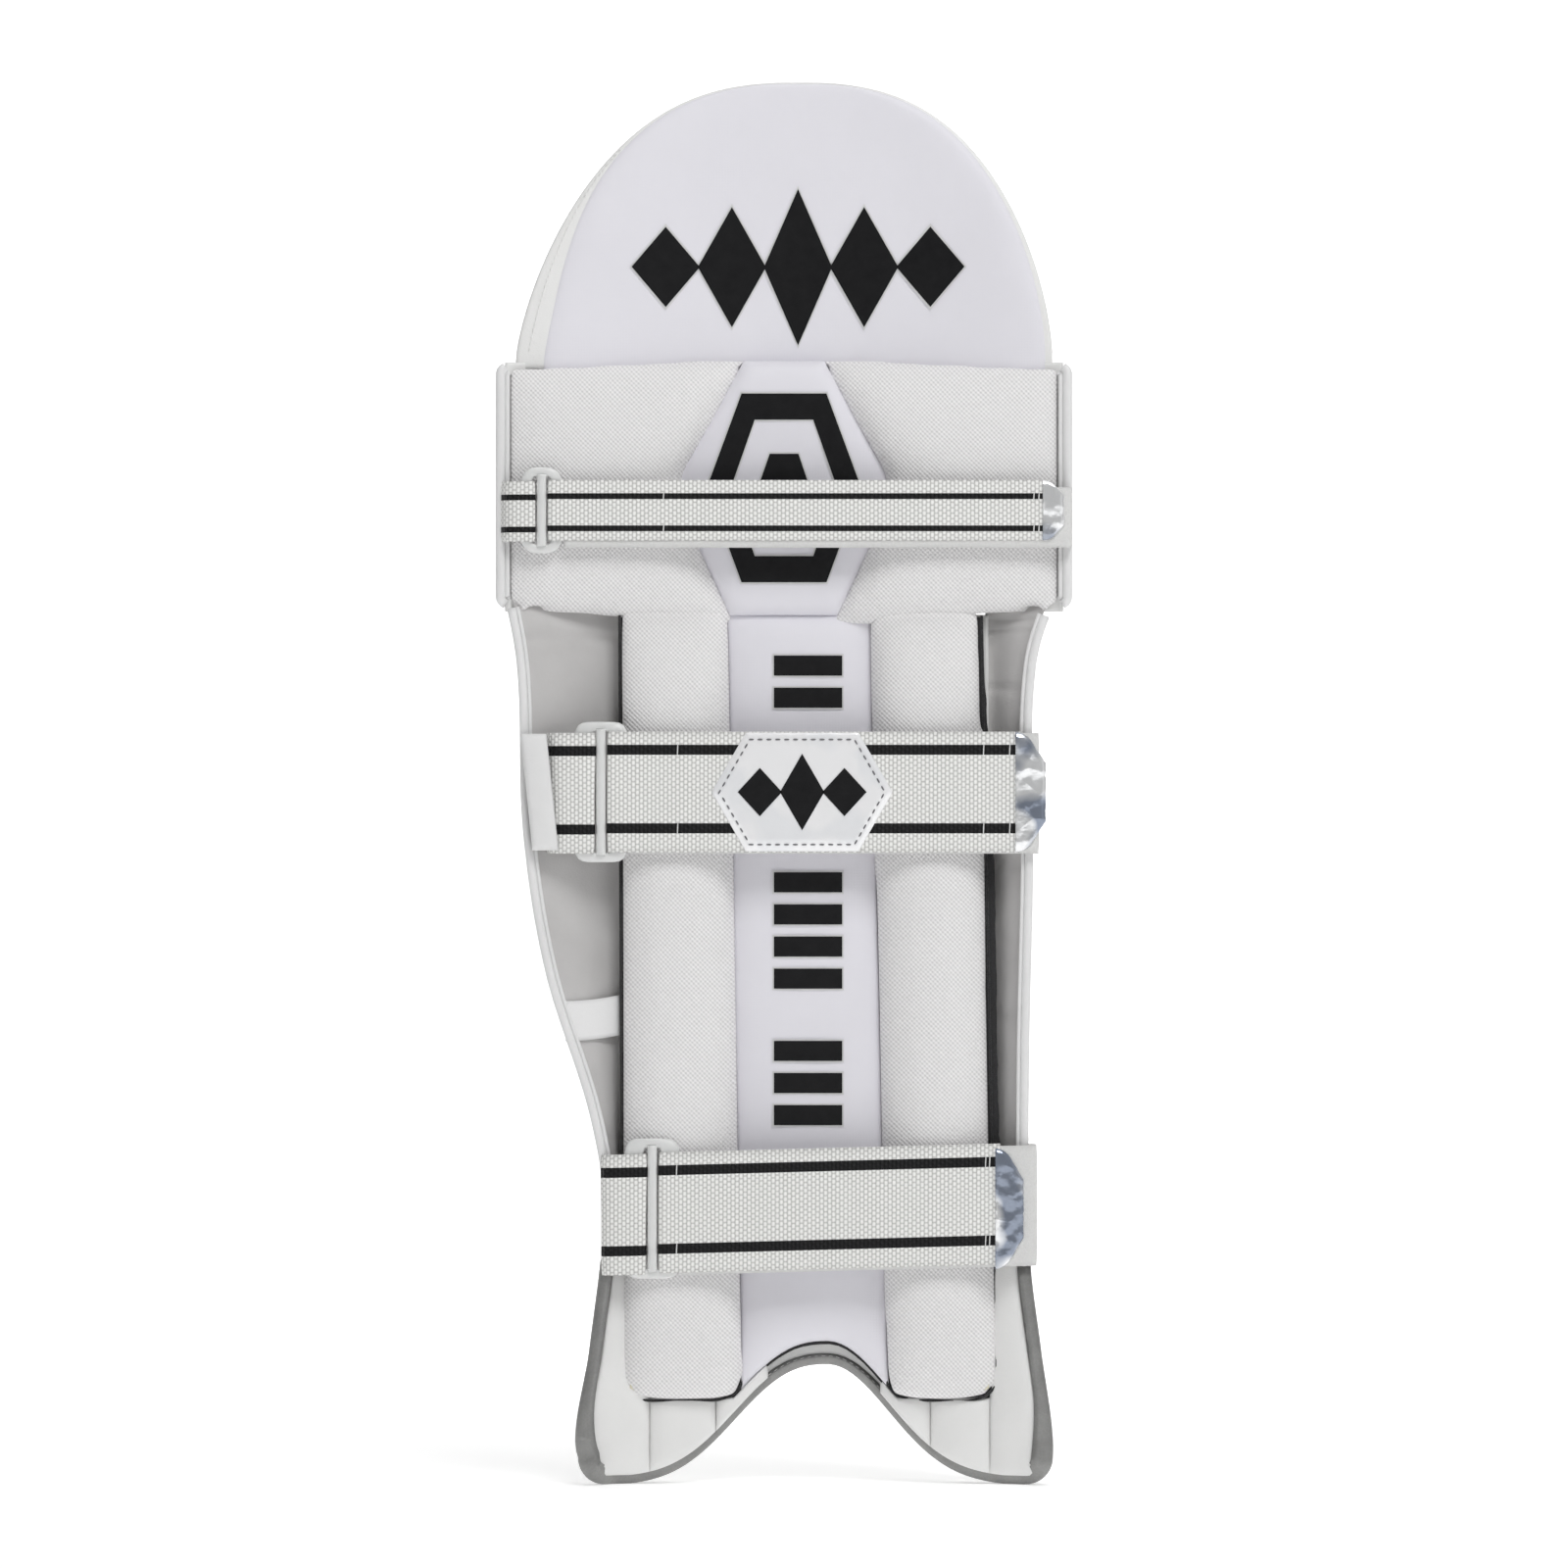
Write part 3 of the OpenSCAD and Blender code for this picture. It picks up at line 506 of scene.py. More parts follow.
def outline_spot(sides, ends, front, back):
    """spot(u, v) over an outline: sides(z) and ends(x) bound it, front and back give its depth."""
    low, high = ends(sum(sides(MID_SHIN_Z)) / 2)
    z_mid = (low + high) / 2

    def spot(u, v):
        u, v = spaced(u), spaced(v)
        x = mix(*sides(z_mid), u)
        z = mix(*ends(x), v)
        x = mix(*sides(z), u)
        z = mix(*ends(x), v)
        return (x, front(x, z, u, v), z), (x, back(x, z, u, v), z)
    return spot


def panel(name, sides, ends, front, back, cols, rows, material):
    return make_piece(name, *solid_of(outline_spot(sides, ends, front, back), cols, rows), material)


def swept(path, profile):
    """Band along a path of (x, y, z), with profile(i) giving (inward, depth) points round it."""
    count, ring = len(path), len(profile(0))
    points = []
    for i, (x, y, z) in enumerate(path):
        run, rise = heading(path, i, 2)
        points += [(x - rise * inward, y + depth, z + run * inward) for inward, depth in profile(i)]
    faces = []
    for i in range(count - 1):
        for j in range(ring):
            a, b = i * ring + j, i * ring + (j + 1) % ring
            faces.append([a, b, b + ring, a + ring])
    first, last = range(ring), range((count - 1) * ring, count * ring)
    return points, faces + [list(first)[::-1], list(last)]


def along(path, pitch):
    """Points and directions every pitch along a path of (x, y, z)."""
    left = pitch / 2
    for start, end in zip(path, path[1:]):
        start, end = Vector(start), Vector(end)
        run = (end - start).length
        while left <= run and run > 0:
            yield start.lerp(end, left / run), (end - start).normalized()
            left += pitch
        left -= run


def stitch_part(centre, direction, length, radius):
    """One stitch: a short spindle lying along its seam."""
    side = direction.cross(Vector((0, 1, 0))).normalized()
    up = Vector((0, 1, 0))
    points = []
    for k, r in ((-0.5, 0.25), (-0.3, 0.9), (0, 1), (0.3, 0.9), (0.5, 0.25)):
        for j in range(6):
            a = math.pi * j / 3
            points.append(tuple(centre + direction * (k * length)
                                + (side * math.cos(a) + up * math.sin(a)) * (r * radius)))
    faces = [[i * 6 + j, i * 6 + (j + 1) % 6, (i + 1) * 6 + (j + 1) % 6, (i + 1) * 6 + j]
             for i in range(4) for j in range(6)]
    return points, faces + [[5, 4, 3, 2, 1, 0], [24, 25, 26, 27, 28, 29]]


def stitch_row(name, paths, material, pitch=3.6, length=2.4, radius=0.32):
    parts = [stitch_part(centre, direction, length, radius)
             for path in paths for centre, direction in along(path, pitch)]
    return join_parts(name, parts, material)


def plate_parts(corners, surface, lift, thick, steps=12):
    """Thin print over a surface, between four (x, z) corners."""
    (ax, az), (bx, bz), (cx, cz), (dx, dz) = corners

    def spot(u, v):
        x = mix(mix(ax, bx, u), mix(dx, cx, u), v)
        z = mix(mix(az, bz, u), mix(dz, cz, u), v)
        y = surface(x, z)
        return (x, y - lift - thick, z), (x, y - lift, z)
    return solid_of(spot, steps, steps)


def make_print(name, parts, material, body, slot="smooth_lining"):
    """Thin print with flat shading, so that its rim stays crisp."""
    piece = join_parts(name, parts, material)
    for face in piece.data.polygons:
        face.use_smooth = False
    return finish_piece(piece, body, slot)


def make_edged_print(name, body, surface, inked, edged, steps):
    """Ink with a paler edge under it; inked and edged are (four-cornered shapes, lift, thickness)."""
    for suffix, (shapes, lift, thick), material in (("", inked, INK), ("_edge", edged, INK_EDGE)):
        parts = [plate_parts(corners, surface, lift, thick, steps) for corners in shapes]
        make_print(name + suffix, parts, material, body)


def finish_piece(piece, body, slot, *nodes, padded=None):
    if nodes:
        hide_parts(*nodes)
    if body:
        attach(piece, body)
    return piece


def evaluated(piece):
    return piece.evaluated_get(bpy.context.evaluated_depsgraph_get())


def bake_modifiers(piece):
    """Give a piece the mesh that its modifiers show."""
    piece.data = bpy.data.meshes.new_from_object(evaluated(piece))
    piece.modifiers.clear()


def blow_up(piece, cap=2.5):
    """Short cloth simulation under pressure, moving no point further than cap millimetres."""
    start = [v.co.copy() for v in piece.data.vertices]
    settings = piece.modifiers.new("cloth", "CLOTH").settings
    settings.quality = 5
    settings.use_pressure = True
    settings.uniform_pressure_force = 4.0
    settings.effector_weights.gravity = 0
    settings.vertex_group_mass = "held"
    settings.tension_stiffness = 12
    settings.bending_stiffness = 0.3
    for step in range(1, 21):
        SCENE.frame_set(step)
    swollen = [v.co.copy() for v in evaluated(piece).data.vertices]
    piece.modifiers.clear()
    for vertex, old, new in zip(piece.data.vertices, start, swollen):
        move = new - old
        if move.length > cap * MM:
            move = move.normalized() * cap * MM
        vertex.co = old + move
    SCENE.frame_set(1)


def inflate(piece, held, voxel=5.0):
    """Swell a padded piece everywhere but where held(point in millimetres) is true."""
    remesh = piece.modifiers.new("remesh", "REMESH")
    remesh.mode = "VOXEL"
    remesh.voxel_size = voxel * MM
    material = piece.data.materials[0]
    bake_modifiers(piece)
    if material.name not in piece.data.materials:
        piece.data.materials.append(material)
    group = piece.vertex_groups.new(name="held")
    group.add([v.index for v in piece.data.vertices if held(v.co / MM)], 1.0, "REPLACE")
    blow_up(piece)
    piece.vertex_groups.clear()
    smooth = piece.modifiers.new("smooth", "SMOOTH")
    smooth.factor = 0.5
    smooth.iterations = 2
    subdivision = piece.modifiers.new("subdivision", "SUBSURF")
    subdivision.levels = 1
    subdivision.render_levels = 1
    bake_modifiers(piece)
    for face in piece.data.polygons:
        face.use_smooth = True


# ---------------------------------------------------------------- camera, light and floor

def make_camera():
    """The reference view: level, straight at the leg side, through a long lens."""
    data = bpy.data.cameras.new("camera")
    camera = bpy.data.objects.new("camera", data)
    SCENE.collection.objects.link(camera)
    distance, frame_h = 6.0, 0.78
    leg_side_y, aim_z = -0.045, 0.349
    camera.location = (0, leg_side_y - distance, aim_z)
    camera.rotation_euler = (math.radians(90), 0, 0)
    data.sensor_width = 36
    data.lens = data.sensor_width * distance / frame_h
    data.clip_end = 50
    SCENE.camera = camera


def area_light(name, place, aim, size, power):
    data = bpy.data.lights.new(name, "AREA")
    data.shape = "SQUARE"
    data.size = size
    data.energy = power
    light = bpy.data.objects.new(name, data)
    light.location = place
    light.rotation_euler = (Vector(aim) - Vector(place)).to_track_quat("-Z", "Y").to_euler()
    SCENE.collection.objects.link(light)


def make_studio():
    """Pale floor that glows more and sweeps up far behind the object, and soft light from all round."""
    world = bpy.data.worlds.new("world")
    world.use_nodes = True
    background = world.node_tree.nodes["Background"]
    background.inputs["Color"].default_value = (1, 1, 1, 1)
    background.inputs["Strength"].default_value = 0.2
    SCENE.world = world
    material, tree, shader = new_material("floor_paint", (0.93, 0.93, 0.93), 0.9, Emission_Strength=0.3,
                                          Emission_Color=(1, 1, 1, 1))
    place = place_of(tree)
    mottle(tree, shader, place, (0.92, 0.92, 0.92), (0.94, 0.94, 0.94), 3, 2)
    depth = add(tree, "ShaderNodeSeparateXYZ", Vector=place).outputs["Y"]
    glow = add(tree, "ShaderNodeMapRange", Value=depth, i1=0.1, i2=1.4, i3=0.34, i4=0.85)
    tree.links.new(glow.outputs[0], shader.inputs["Emission Strength"])
    radius, near, reach, half_w, wall_h = 800, -8000, 7000, 9000, 6000
    sweep = [(near, 0), (reach, 0)]
    sweep += [(reach + radius * math.sin(a), radius * (1 - math.cos(a))) for a in angles(6, 91, 6)]
    sweep.append((reach + radius, wall_h))
    points = [(side * half_w, y, z) for y, z in sweep for side in (-1, 1)]
    faces = [[2 * i, 2 * i + 1, 2 * i + 3, 2 * i + 2] for i in range(len(sweep) - 1)]
    make_piece("floor", points, faces, material)
    middle = (0, 0, 0.35)
    area_light("key", (0.8, -2.2, 2.8), middle, 1.3, 47)
    area_light("fill", (2.6, -2.0, 0.8), middle, 2.0, 3)
    area_light("back", (1.6, 2.2, 2.4), middle, 1.6, 7)
    area_light("backdrop", (0, 0.4, 3.0), (0, 1.7, 0.3), 2.4, 24)
    SCENE.view_settings.view_transform = "Standard"


# ---------------------------------------------------------------- shin, leg side

BOLSTERS = {-1: ((-81, -19), (-82.5, -27)), 1: ((52, 107.5), (42, 99))}


def bolster_sides(side):
    """Both sides of a bolster as a function of height: its foot and its head joined by straight lines."""
    foot, head = BOLSTERS[side]
    return lambda z: (mix(foot[0], head[0], z / SEAM_Z), mix(foot[1], head[1], z / SEAM_Z))


def bolster_ends(side):
    foot, corner = 41, 16
    gap = 13 if side < 0 else 12

    def ends(x):
        left, right = bolster_sides(side)(60)
        lift = round_rise(min(x - left, right - x), corner)
        cut = max(0, arch_z(x) + gap - foot)
        return foot + max(lift * 0.7, cut), SEAM_Z + 5
    return ends


def make_bolster(name, side):
    def back(x, z, u, v):
        return leg_y(x, z) - 2.4

    def front(x, z, u, v):
        return mix(back(x, z, u, v), CUSHION_Y + 1.0, crown(u, v, 0.25, 3, 14))
    piece = panel(name + "_cover", bolster_sides(side), bolster_ends(side), front, back, 22, 110, MESH)
    inflate(piece, lambda p: p.y > leg_y(p.x, p.z) - 5)
    return finish_piece(piece, "pad", "mesh_fabric", name, padded=0.85)


def make_centre_panel():
    """Smooth panel between the bolsters. Returns the surface that its print lies on."""
    left, right = bolster_sides(-1), bolster_sides(1)

    def sides(z):
        return left(z)[1] - 1.5, right(z)[0] + 1.5

    def puffed(x, z, u, v):
        return leg_y(x, z) - 3 - 12 * crown(u, v, 0.2, 2.6, 26)

    def surface(x, z):
        start, end = sides(z)
        return puffed(x, z, (x - start) / (end - start), 0.5)
    piece = panel("centre_shin_panel_cover", sides, lambda x: (max(46, arch_z(x) + 12), SEAM_Z + 1),
                  lambda x, z, u, v: puffed(x, z, u, v) - 0.5 * wrinkle(x, z, 30, 3),
                  lambda x, z, u, v: leg_y(x, z) - 2.6, 30, 120, SATIN)
    finish_piece(piece, "pad", "smooth_lining", "centre_shin_panel", padded=0.7)
    return surface


def bolster_outline(side):
    """Down the left of a bolster, along its foot and up its right, as (x, z) points."""
    sides, ends = bolster_sides(side), bolster_ends(side)
    left, right = sides(60)
    foot = [(x, ends(x)[0]) for x in (mix(left, right, spaced(i / 48, 1)) for i in range(49))]
    heights = [mix(foot[0][1], SEAM_Z, i / 60) for i in range(1, 61)]
    return [(sides(z)[0], z) for z in reversed(heights)] + foot + [(sides(z)[1], z) for z in heights[1:]]


def make_backing():
    """Black backing whose rough edge shows outside the right bolster and under both."""
    left, right = bolster_sides(-1), bolster_sides(1)

    def sides(z):
        ragged = 0.6 * wrinkle(9, z, 7, 5) + 0.5 * wrinkle(4, z, 24, 5)
        flange = 0.2 + 3.0 * ramp(408, 350, z) * (1 - 0.4 * ramp(160, 90, z))
        return left(z)[0] + 1, right(z)[1] + flange + ragged * min(1, flange)

    def ends(x):
        edge = min(x + 82, 108 - x)
        foot = max(43.4 + toe_z(edge * 0.9 + 1) * 0.7, arch_z(x) + 10.4)
        return foot + 0.3 * wrinkle(x, 3, 5, 2), SEAM_Z - 1
    piece = panel("bolster_backing_cloth", sides, ends,
                  lambda x, z, u, v: leg_y(x, z) - 4.6 - 1.5 * ramp(0.94, 1, u),
                  lambda x, z, u, v: leg_y(x, z) - 0.6, 60, 120, BACKING)
    finish_piece(piece, "pad", "black_backing", "bolster_backing")
    cord = oval(0.7, 1.4, 45)
    parts = [swept(on_leg_side(offset_path(bolster_outline(side), 0.5), 5.2), lambda i: cord)
             for side in (-1, 1)]
    finish_piece(join_parts("bolster_edging", parts, BACKING), "pad", "black_backing")


def shade_leg_side_with(piece, material):
    """Give the leg side of a piece its own material, used on the wings as painted shade."""
    piece.data.materials.append(material)
    for face in piece.data.polygons:
        if face.normal.y < -0.3:
            face.material_index = 1


def crease_depth(x, z, creases):
    return sum(depth * bell(z - height - slope * x, width) for height, slope, width, depth in creases)


def make_wing(name, node, sides, creases):
    def front(x, z, u, v):
        near_core = 1 - abs(x - CORE_X) / 130 if abs(x - CORE_X) > 130 else 1
        inner = u if x < CORE_X else 1 - u
        return (leg_y(x, z) + 5 * ramp(0.35, 1.0, inner) * near_core + 1.4 * crease_depth(x, z, creases)
                + 3 * ramp(SEAM_Z - 8, SEAM_Z + 8, z) + 0.6 * wrinkle(x, z, 26, 8))

    def back(x, z, u, v):
        thick = mix(8, 12, 1 - abs((x - CORE_X) / 130))
        return leg_y(x, z) + thick + 2.5 * crown(u, v, 0, 3, 20) + 0.5 * wrinkle(x, z, 34, 2)
    piece = panel(name, sides, lambda x: (low_z(x) + 4, SEAM_Z + 8), front, back, 26, 170, PU)
    # Painted shade: the wing's leg side takes the darker cloth.
    shade_leg_side_with(piece, SHADED_WING_PU)
    finish_piece(piece, "pad", "white_pu", node, padded=0.4)


def make_wings():
    make_wing("outer_wing_shell", "outer_wing", lambda z: (left_edge(z) + 3.6, CORE_L + 1.5),
              [(178, 0.05, 1.2, 1.0), (183, -0.1, 0.9, 0.7), (424, 0.02, 2.5, 0.8)])
    make_wing("inner_wing_shell", "inner_wing", lambda z: (CORE_R - 1.5, right_edge(z) - 3.6),
              [(431, 0, 1.4, 1.2), (423, 0.02, 1.0, 1.0), (403, -0.06, 1.6, 1.3), (231, 0.03, 1.2, 1.8),
               (310, 0.0, 2.5, 0.8), (262, 0.1, 2.0, 0.6)])


def make_shin_core():
    """Lining, and the face panel with the walls that close the sides of the shin."""
    def ends(x):
        return low_z(x) + 3, SEAM_Z
    lining = panel("shin_lining_cloth", lambda z: (CORE_L + 0.5, CORE_R - 0.5), ends,
                   lambda x, z, u, v: leg_y(x, z) - 0.2, lambda x, z, u, v: leg_y(x, z) + 3, 60, 60, PU)
    finish_piece(lining, "pad", "smooth_lining", "shin_lining")

    def back(x, z, u, v):
        bow = CORE_BOW * min(1, abs((x - CORE_X) / CORE_HALF)) ** 2
        return FACE_Y - bow + 0.3 * wrinkle(x, z, 20, 4)
    face = panel("shin_face_shell", lambda z: (CORE_L, CORE_R), ends,
                 lambda x, z, u, v: leg_y(x, z) + 3.2, back, 50, 60, PU)
    finish_piece(face, "pad", "white_pu", "shin_face_panel", "shin_foam")


def instep_cell(left, right):
    """One cell of the instep. The outer cell of each side is taller and follows the pad's edge."""
    at_left, at_right = left < -90, right > 120
    tall = 114 if at_left or at_right else 43

    def sides(z):
        return (max(left, left_edge(z) + 6.5) if at_left else left,
                min(right, right_edge(z) - 6.5) if at_right else right)

    def ends(x):
        return low_z(x) + 4.5, max(tall, arch_z(x) + 12)

    def front(x, z, u, v):
        return leg_y(x, z) - 1 - 7.5 * crown(u, v, 0.25, 2.0, 6) + 0.9 * wrinkle(x, z, 17, 6)

    def back(x, z, u, v):
        return leg_y(x, z) - 0.3
    return solid_of(outline_spot(sides, ends, front, back), 18, 34)


def make_instep_cells():
    seams = ((-100, -67), (-67, -34), (-34, -8), (48, 73), (73, 102.6), (102.6, 131))
    piece = join_parts("instep_cell_covers", [instep_cell(*pair) for pair in seams], PU)
    finish_piece(piece, "pad", "white_pu", "instep_cells", padded=0.5)


def toe_arc(corner_x, side, turns):
    """Round of a toe, from the corner of its box, as (x, z) points."""
    return [(corner_x + side * TOE_ROUND * (1 - math.cos(t)), TOE_ROUND * (1 - math.sin(t))) for t in turns]


def rim_path(top):
    """Down the left edge, round the toes and the arch, and up the right edge."""
    path = [(left_edge(z), z) for z in range(top, TOE_ROUND, -5)] + toe_arc(TOE_L, 1, angles(0, 91, 9))
    x = TOE_L + TOE_ROUND + 3
    while x < TOE_R - TOE_ROUND:
        path.append((x, low_z(x)))
        x += 3
    path += toe_arc(TOE_R, -1, angles(90, -1, -9))
    path += [(right_edge(z), z) for z in range(TOE_ROUND + 5, top + 1, 5)]
    return [(x, max(0, z)) for x, z in path]


def on_leg_side(path, lift=0.0):
    return [(x, leg_y(x, z) - lift, z) for x, z in path]


def offset_path(path, inset):
    """The same path, moved inwards, given as (x, z) points."""
    moved = []
    for i, (x, z) in enumerate(path):
        run, rise = heading(path, i, 1)
        k = inset(i) if callable(inset) else inset
        moved.append((x - rise * k, z + run * k))
    return moved


def roll_profile(width, roll, depth, wobble=0.0):
    """Piping folded over an edge: a round outer roll, then a flat flange, on both faces."""
    points = [(width, 0.2), (width, -1.0 + wobble), (roll * 2 + 0.6, -1.3 + wobble), (roll * 2, -0.7)]
    points += [(roll * (1 + math.cos(t)), -0.6 - roll * math.sin(t) * 0.9) for t in angles(0, 181, 20)]
    for t in angles(0, 91, 30):
        inward = roll * (1 - math.sin(t))
        points.append((inward, depth - inward * 0.2 + 0.4))
    return points + [(roll * 2, depth + 1.0), (width, depth + 0.6), (width, depth - 0.6)]


def fold_profile(width, depth, wobble=0.0):
    """Flat binding that bends smoothly over an edge, from its stitched seam on each face."""
    bend, rise = width - 1.6, 4.0
    points = [(width, 0.2), (width, -1.0 + wobble), (width - 1.2, -0.9 + wobble)]
    points += [(bend * (1 - math.sin(t)), -1.9 + wobble + rise * (1 - math.cos(t)))
               for t in angles(0, 91, 10)]
    points += [(bend * (1 - math.sin(t)), depth + 1.4 - rise * 0.7 * (1 - math.cos(t)))
               for t in angles(90, -1, -15)]
    return points + [(width - 1.2, depth + 0.7), (width, depth + 0.7), (width, depth - 0.5)]


def make_instep_binding():
    path = rim_path(BINDING_TOP)
    points = on_leg_side(path)

    def width(i):
        x, z = path[i]
        arch = ramp(-72, -40, x) * (1 - ramp(70, 92, x)) * (1 if z < 62 else 0)
        toe = bell(z - 12, 26)
        return mix(mix(6.5, 11.0, toe), 5.6, arch)

    def profile(i):
        return fold_profile(width(i), 9.5, 0.3 * wrinkle(i * 3.0, 0, 9, 3))
    piece = make_piece("instep_binding_tape", *swept(points, profile), SILVER)
    finish_piece(piece, "pad", "silver_binding", "instep_binding")
    seam = offset_path(path, lambda i: width(i) - 1.4)
    stitches = stitch_row("instep_binding_stitches", [on_leg_side(seam, 1.0)], THREAD)
    finish_piece(stitches, "pad", "silver_binding")


def make_wing_piping():
    """White piping up both edges, from the ankle over the knee, with its stitches."""
    low, high = SEAM_Z + 3.5, HAT_Z - 1.5
    knee = [mix(low, high, spaced(i / 40, 0.6)) for i in range(41)]
    left = [(left_edge(z), z) for z in range(int(SEAM_Z) + 3, BINDING_TOP - 1, -5)]
    right = [(right_edge(z), z) for z in range(BINDING_TOP, int(SEAM_Z) + 4, 5)]
    stitched = []
    for name, shin, side in (("outer_wing_piping", left, -1), ("inner_wing_piping", right, 1)):
        knee_points = [(side * knee_edge(z), knee_y(knee_edge(z)) - 1.5, z) for z in knee][::side]
        parts = [swept(on_leg_side(shin),
                       lambda i: roll_profile(6.2, 2.2, 8.5, 0.2 * wrinkle(i * 5.0, 0, 20, 1))),
                 swept(knee_points, lambda i: roll_profile(7.0, 2.4, 8.5, 0.5 * wrinkle(i * 5.0, 0, 8, 2)))]
        finish_piece(join_parts(name + "_tape", parts, PIPING), "pad", "piping", name)
        stitched.append(on_leg_side(offset_path(shin, 5.2), 1.2))
    finish_piece(stitch_row("wing_piping_stitches", stitched, THREAD), "pad", "piping")


def make_label():
    """Small cloth label that lies on the outer wing, sewn in at the bolster."""
    low, high = box_mm("size_label")
    start = low[0]

    def spot(u, v):
        x = mix(start, CORE_L - 1, u)
        z = mix(low[2], high[2], v) + 3 * u * u
        y = leg_y(x, z) - 0.8 - 1.2 * u
        return (x, y - 0.35, z), (x, y, z)
    piece = make_piece("size_label_cloth", *solid_of(spot, 16, 8), LABEL)
    finish_piece(piece, "pad", "label_cloth", "size_label")


# ---------------------------------------------------------------- knee

PATCH_SIDE = [(400, 8), (SEAM_Z, 24), (SEAM_Z + 34, 41), (SEAM_Z + 69, 50.5), (HAT_Z, 17), (HAT_Z + 30, 0)]


def patch_half(z):
    """Half the width of the hexagonal patch at a height."""
    for (z0, w0), (z1, w1) in zip(PATCH_SIDE, PATCH_SIDE[1:]):
        if z <= z1:
            return mix(w0, w1, (z - z0) / (z1 - z0))
    return PATCH_SIDE[-1][1]


KNEE_CORNER = 6


def knee_edge(z):
    """Half the width of the knee section at a height, with its rounded corners."""
    inset = min(z - SEAM_Z - 3, HAT_Z - 1 - z)
    if inset >= KNEE_CORNER:
        return HALF_W
    reach = KNEE_CORNER - max(0, inset)
    return HALF_W - KNEE_CORNER + math.sqrt(KNEE_CORNER ** 2 - reach ** 2)


def make_knee_wing(name, side):
    def sides(z):
        inner, outer = side * (patch_half(z) + 0.2), side * (knee_edge(z) - 3.5)
        return (outer, inner) if side < 0 else (inner, outer)

    def ends(x):
        return SEAM_Z - 6 + 0.07 * (abs(x) - 24), HAT_Z + 1 - 0.02 * abs(x)

    def back(x, z, u, v):
        return knee_y(x) - 0.6

    def front(x, z, u, v):
        return mix(back(x, z, u, v), CUSHION_Y + 1.0, crown(u, v, 0.3, 4, 4))
    piece = panel(name + "_cover", sides, ends, front, back, 48, 52, MESH)
    inflate(piece, lambda p: p.y > knee_y(p.x) - 4)
    finish_piece(piece, "pad", "mesh_fabric", name, padded=0.85)


def knee_patch_y(x, z):
    return knee_y(x) - 17 + 2.5 * abs(x / 50) ** 2


def make_knee_patch():
    """Smooth hexagonal patch between the knee wings."""
    def front(x, z, u, v):
        return mix(knee_y(x) - 3, knee_patch_y(x, z), crown(u, v, 0.4, 8, 12)) - 0.3 * wrinkle(x, z, 22, 9)
    piece = panel("knee_patch_cover", lambda z: (-patch_half(z) - 3, patch_half(z) + 3),
                  lambda x: (SEAM_Z, HAT_Z), front, lambda x, z, u, v: knee_y(x) - 0.6, 40, 48, SATIN)
    finish_piece(piece, "pad", "smooth_lining", "knee_patch", padded=0.7)


def hexagon(centre_z, half_w, half_h):
    """Corners of a flat-topped hexagon, taller than it is wide."""
    return [(half_w, centre_z), (half_w * 0.55, centre_z + half_h), (-half_w * 0.55, centre_z + half_h),
            (-half_w, centre_z), (-half_w * 0.55, centre_z - half_h), (half_w * 0.55, centre_z - half_h)]


def ring_shapes(outer, inner):
    """Six four-cornered shapes between two hexagons."""
    return list(zip(outer, outer[1:] + outer[:1], inner[1:] + inner[:1], inner))


def make_knee_print():
    """Plain hexagonal ring round a small solid hexagon."""
    centre = (SEAM_Z + HAT_Z) / 2
    rim, point = 0.9, 0.01
    inked, edged = [], []
    for outer_w, outer_h, inner_w, inner_h in ((38.5, 47, 26.5, 34), (13, 17, point, point)):
        inked += ring_shapes(hexagon(centre, outer_w, outer_h), hexagon(centre, inner_w, inner_h))
        edged += ring_shapes(hexagon(centre, outer_w + rim, outer_h + rim),
                             hexagon(centre, max(point, inner_w - rim), max(point, inner_h - rim)))
    make_edged_print("knee_print", "pad", knee_patch_y, (inked, 0.35, 0.35), (edged, 0.1, 0.3), 10)


def make_knee_face():
    shell = panel("knee_face_shell", lambda z: (-HALF_W + 4.5, HALF_W - 4.5),
                  lambda x: (SEAM_Z + 2, HAT_Z - 1), lambda x, z, u, v: knee_y(x),
                  lambda x, z, u, v: knee_front_y(x) + 0.4 * wrinkle(x, z, 24, 5), 60, 30, PU)
    finish_piece(shell, "pad", "white_pu", "knee_face_panel", "knee_foam")


def make_knee_roll(i):
    """Padded roll across the knee, dented by its three seams."""
    node = f"knee_roll_{i}"
    low, high = box_mm(node)

    def back(x, z, u, v):
        puff = crown(u, v, 0.0, 7, 2.0)
        dent = 1.5 * sum(bell(x - seam, 2.5) for seam in (-40, 0, 40))
        return mix(knee_front_y(x) + 1, high[1], puff) - dent * puff - 0.7 * abs(wrinkle(x, z, 16, i))
    piece = panel(node + "_cover", lambda z: (low[0], high[0]), lambda x: (low[2] - 0.4, high[2] + 0.4),
                  lambda x, z, u, v: knee_front_y(x) + 0.4, back, 90, 26, PU)
    finish_piece(piece, "pad", "white_pu", node, padded=0.9)


# ---------------------------------------------------------------- shin, ball side

def make_channel(i):
    """Padded channel down the shin, round one cane."""
    node = f"cane_channel_{i}"
    low, high = box_mm(node)

    def back(x, z, u, v):
        return mix(low[1], high[1], crown(u, v, 0.0, 2.0, 40)) - 0.6 * abs(wrinkle(x, z * 0.6, 18, i))
    piece = panel(node + "_cover", lambda z: (low[0] - 0.3, high[0] + 0.3),
                  lambda x: (max(low[2] - 4, low_z(x) + 5), SEAM_Z + 1),
                  lambda x, z, u, v: low[1] - 1, back, 18, 120, PU)
    finish_piece(piece, "pad", "white_pu", node, padded=0.8)


# ---------------------------------------------------------------- top hat

def hat_rim_w(k):
    """Width of the outer shell that shows along the left of the lining, at a share of its height."""
    return mix(13, 1.2, ramp(0.1, 0.93, k))


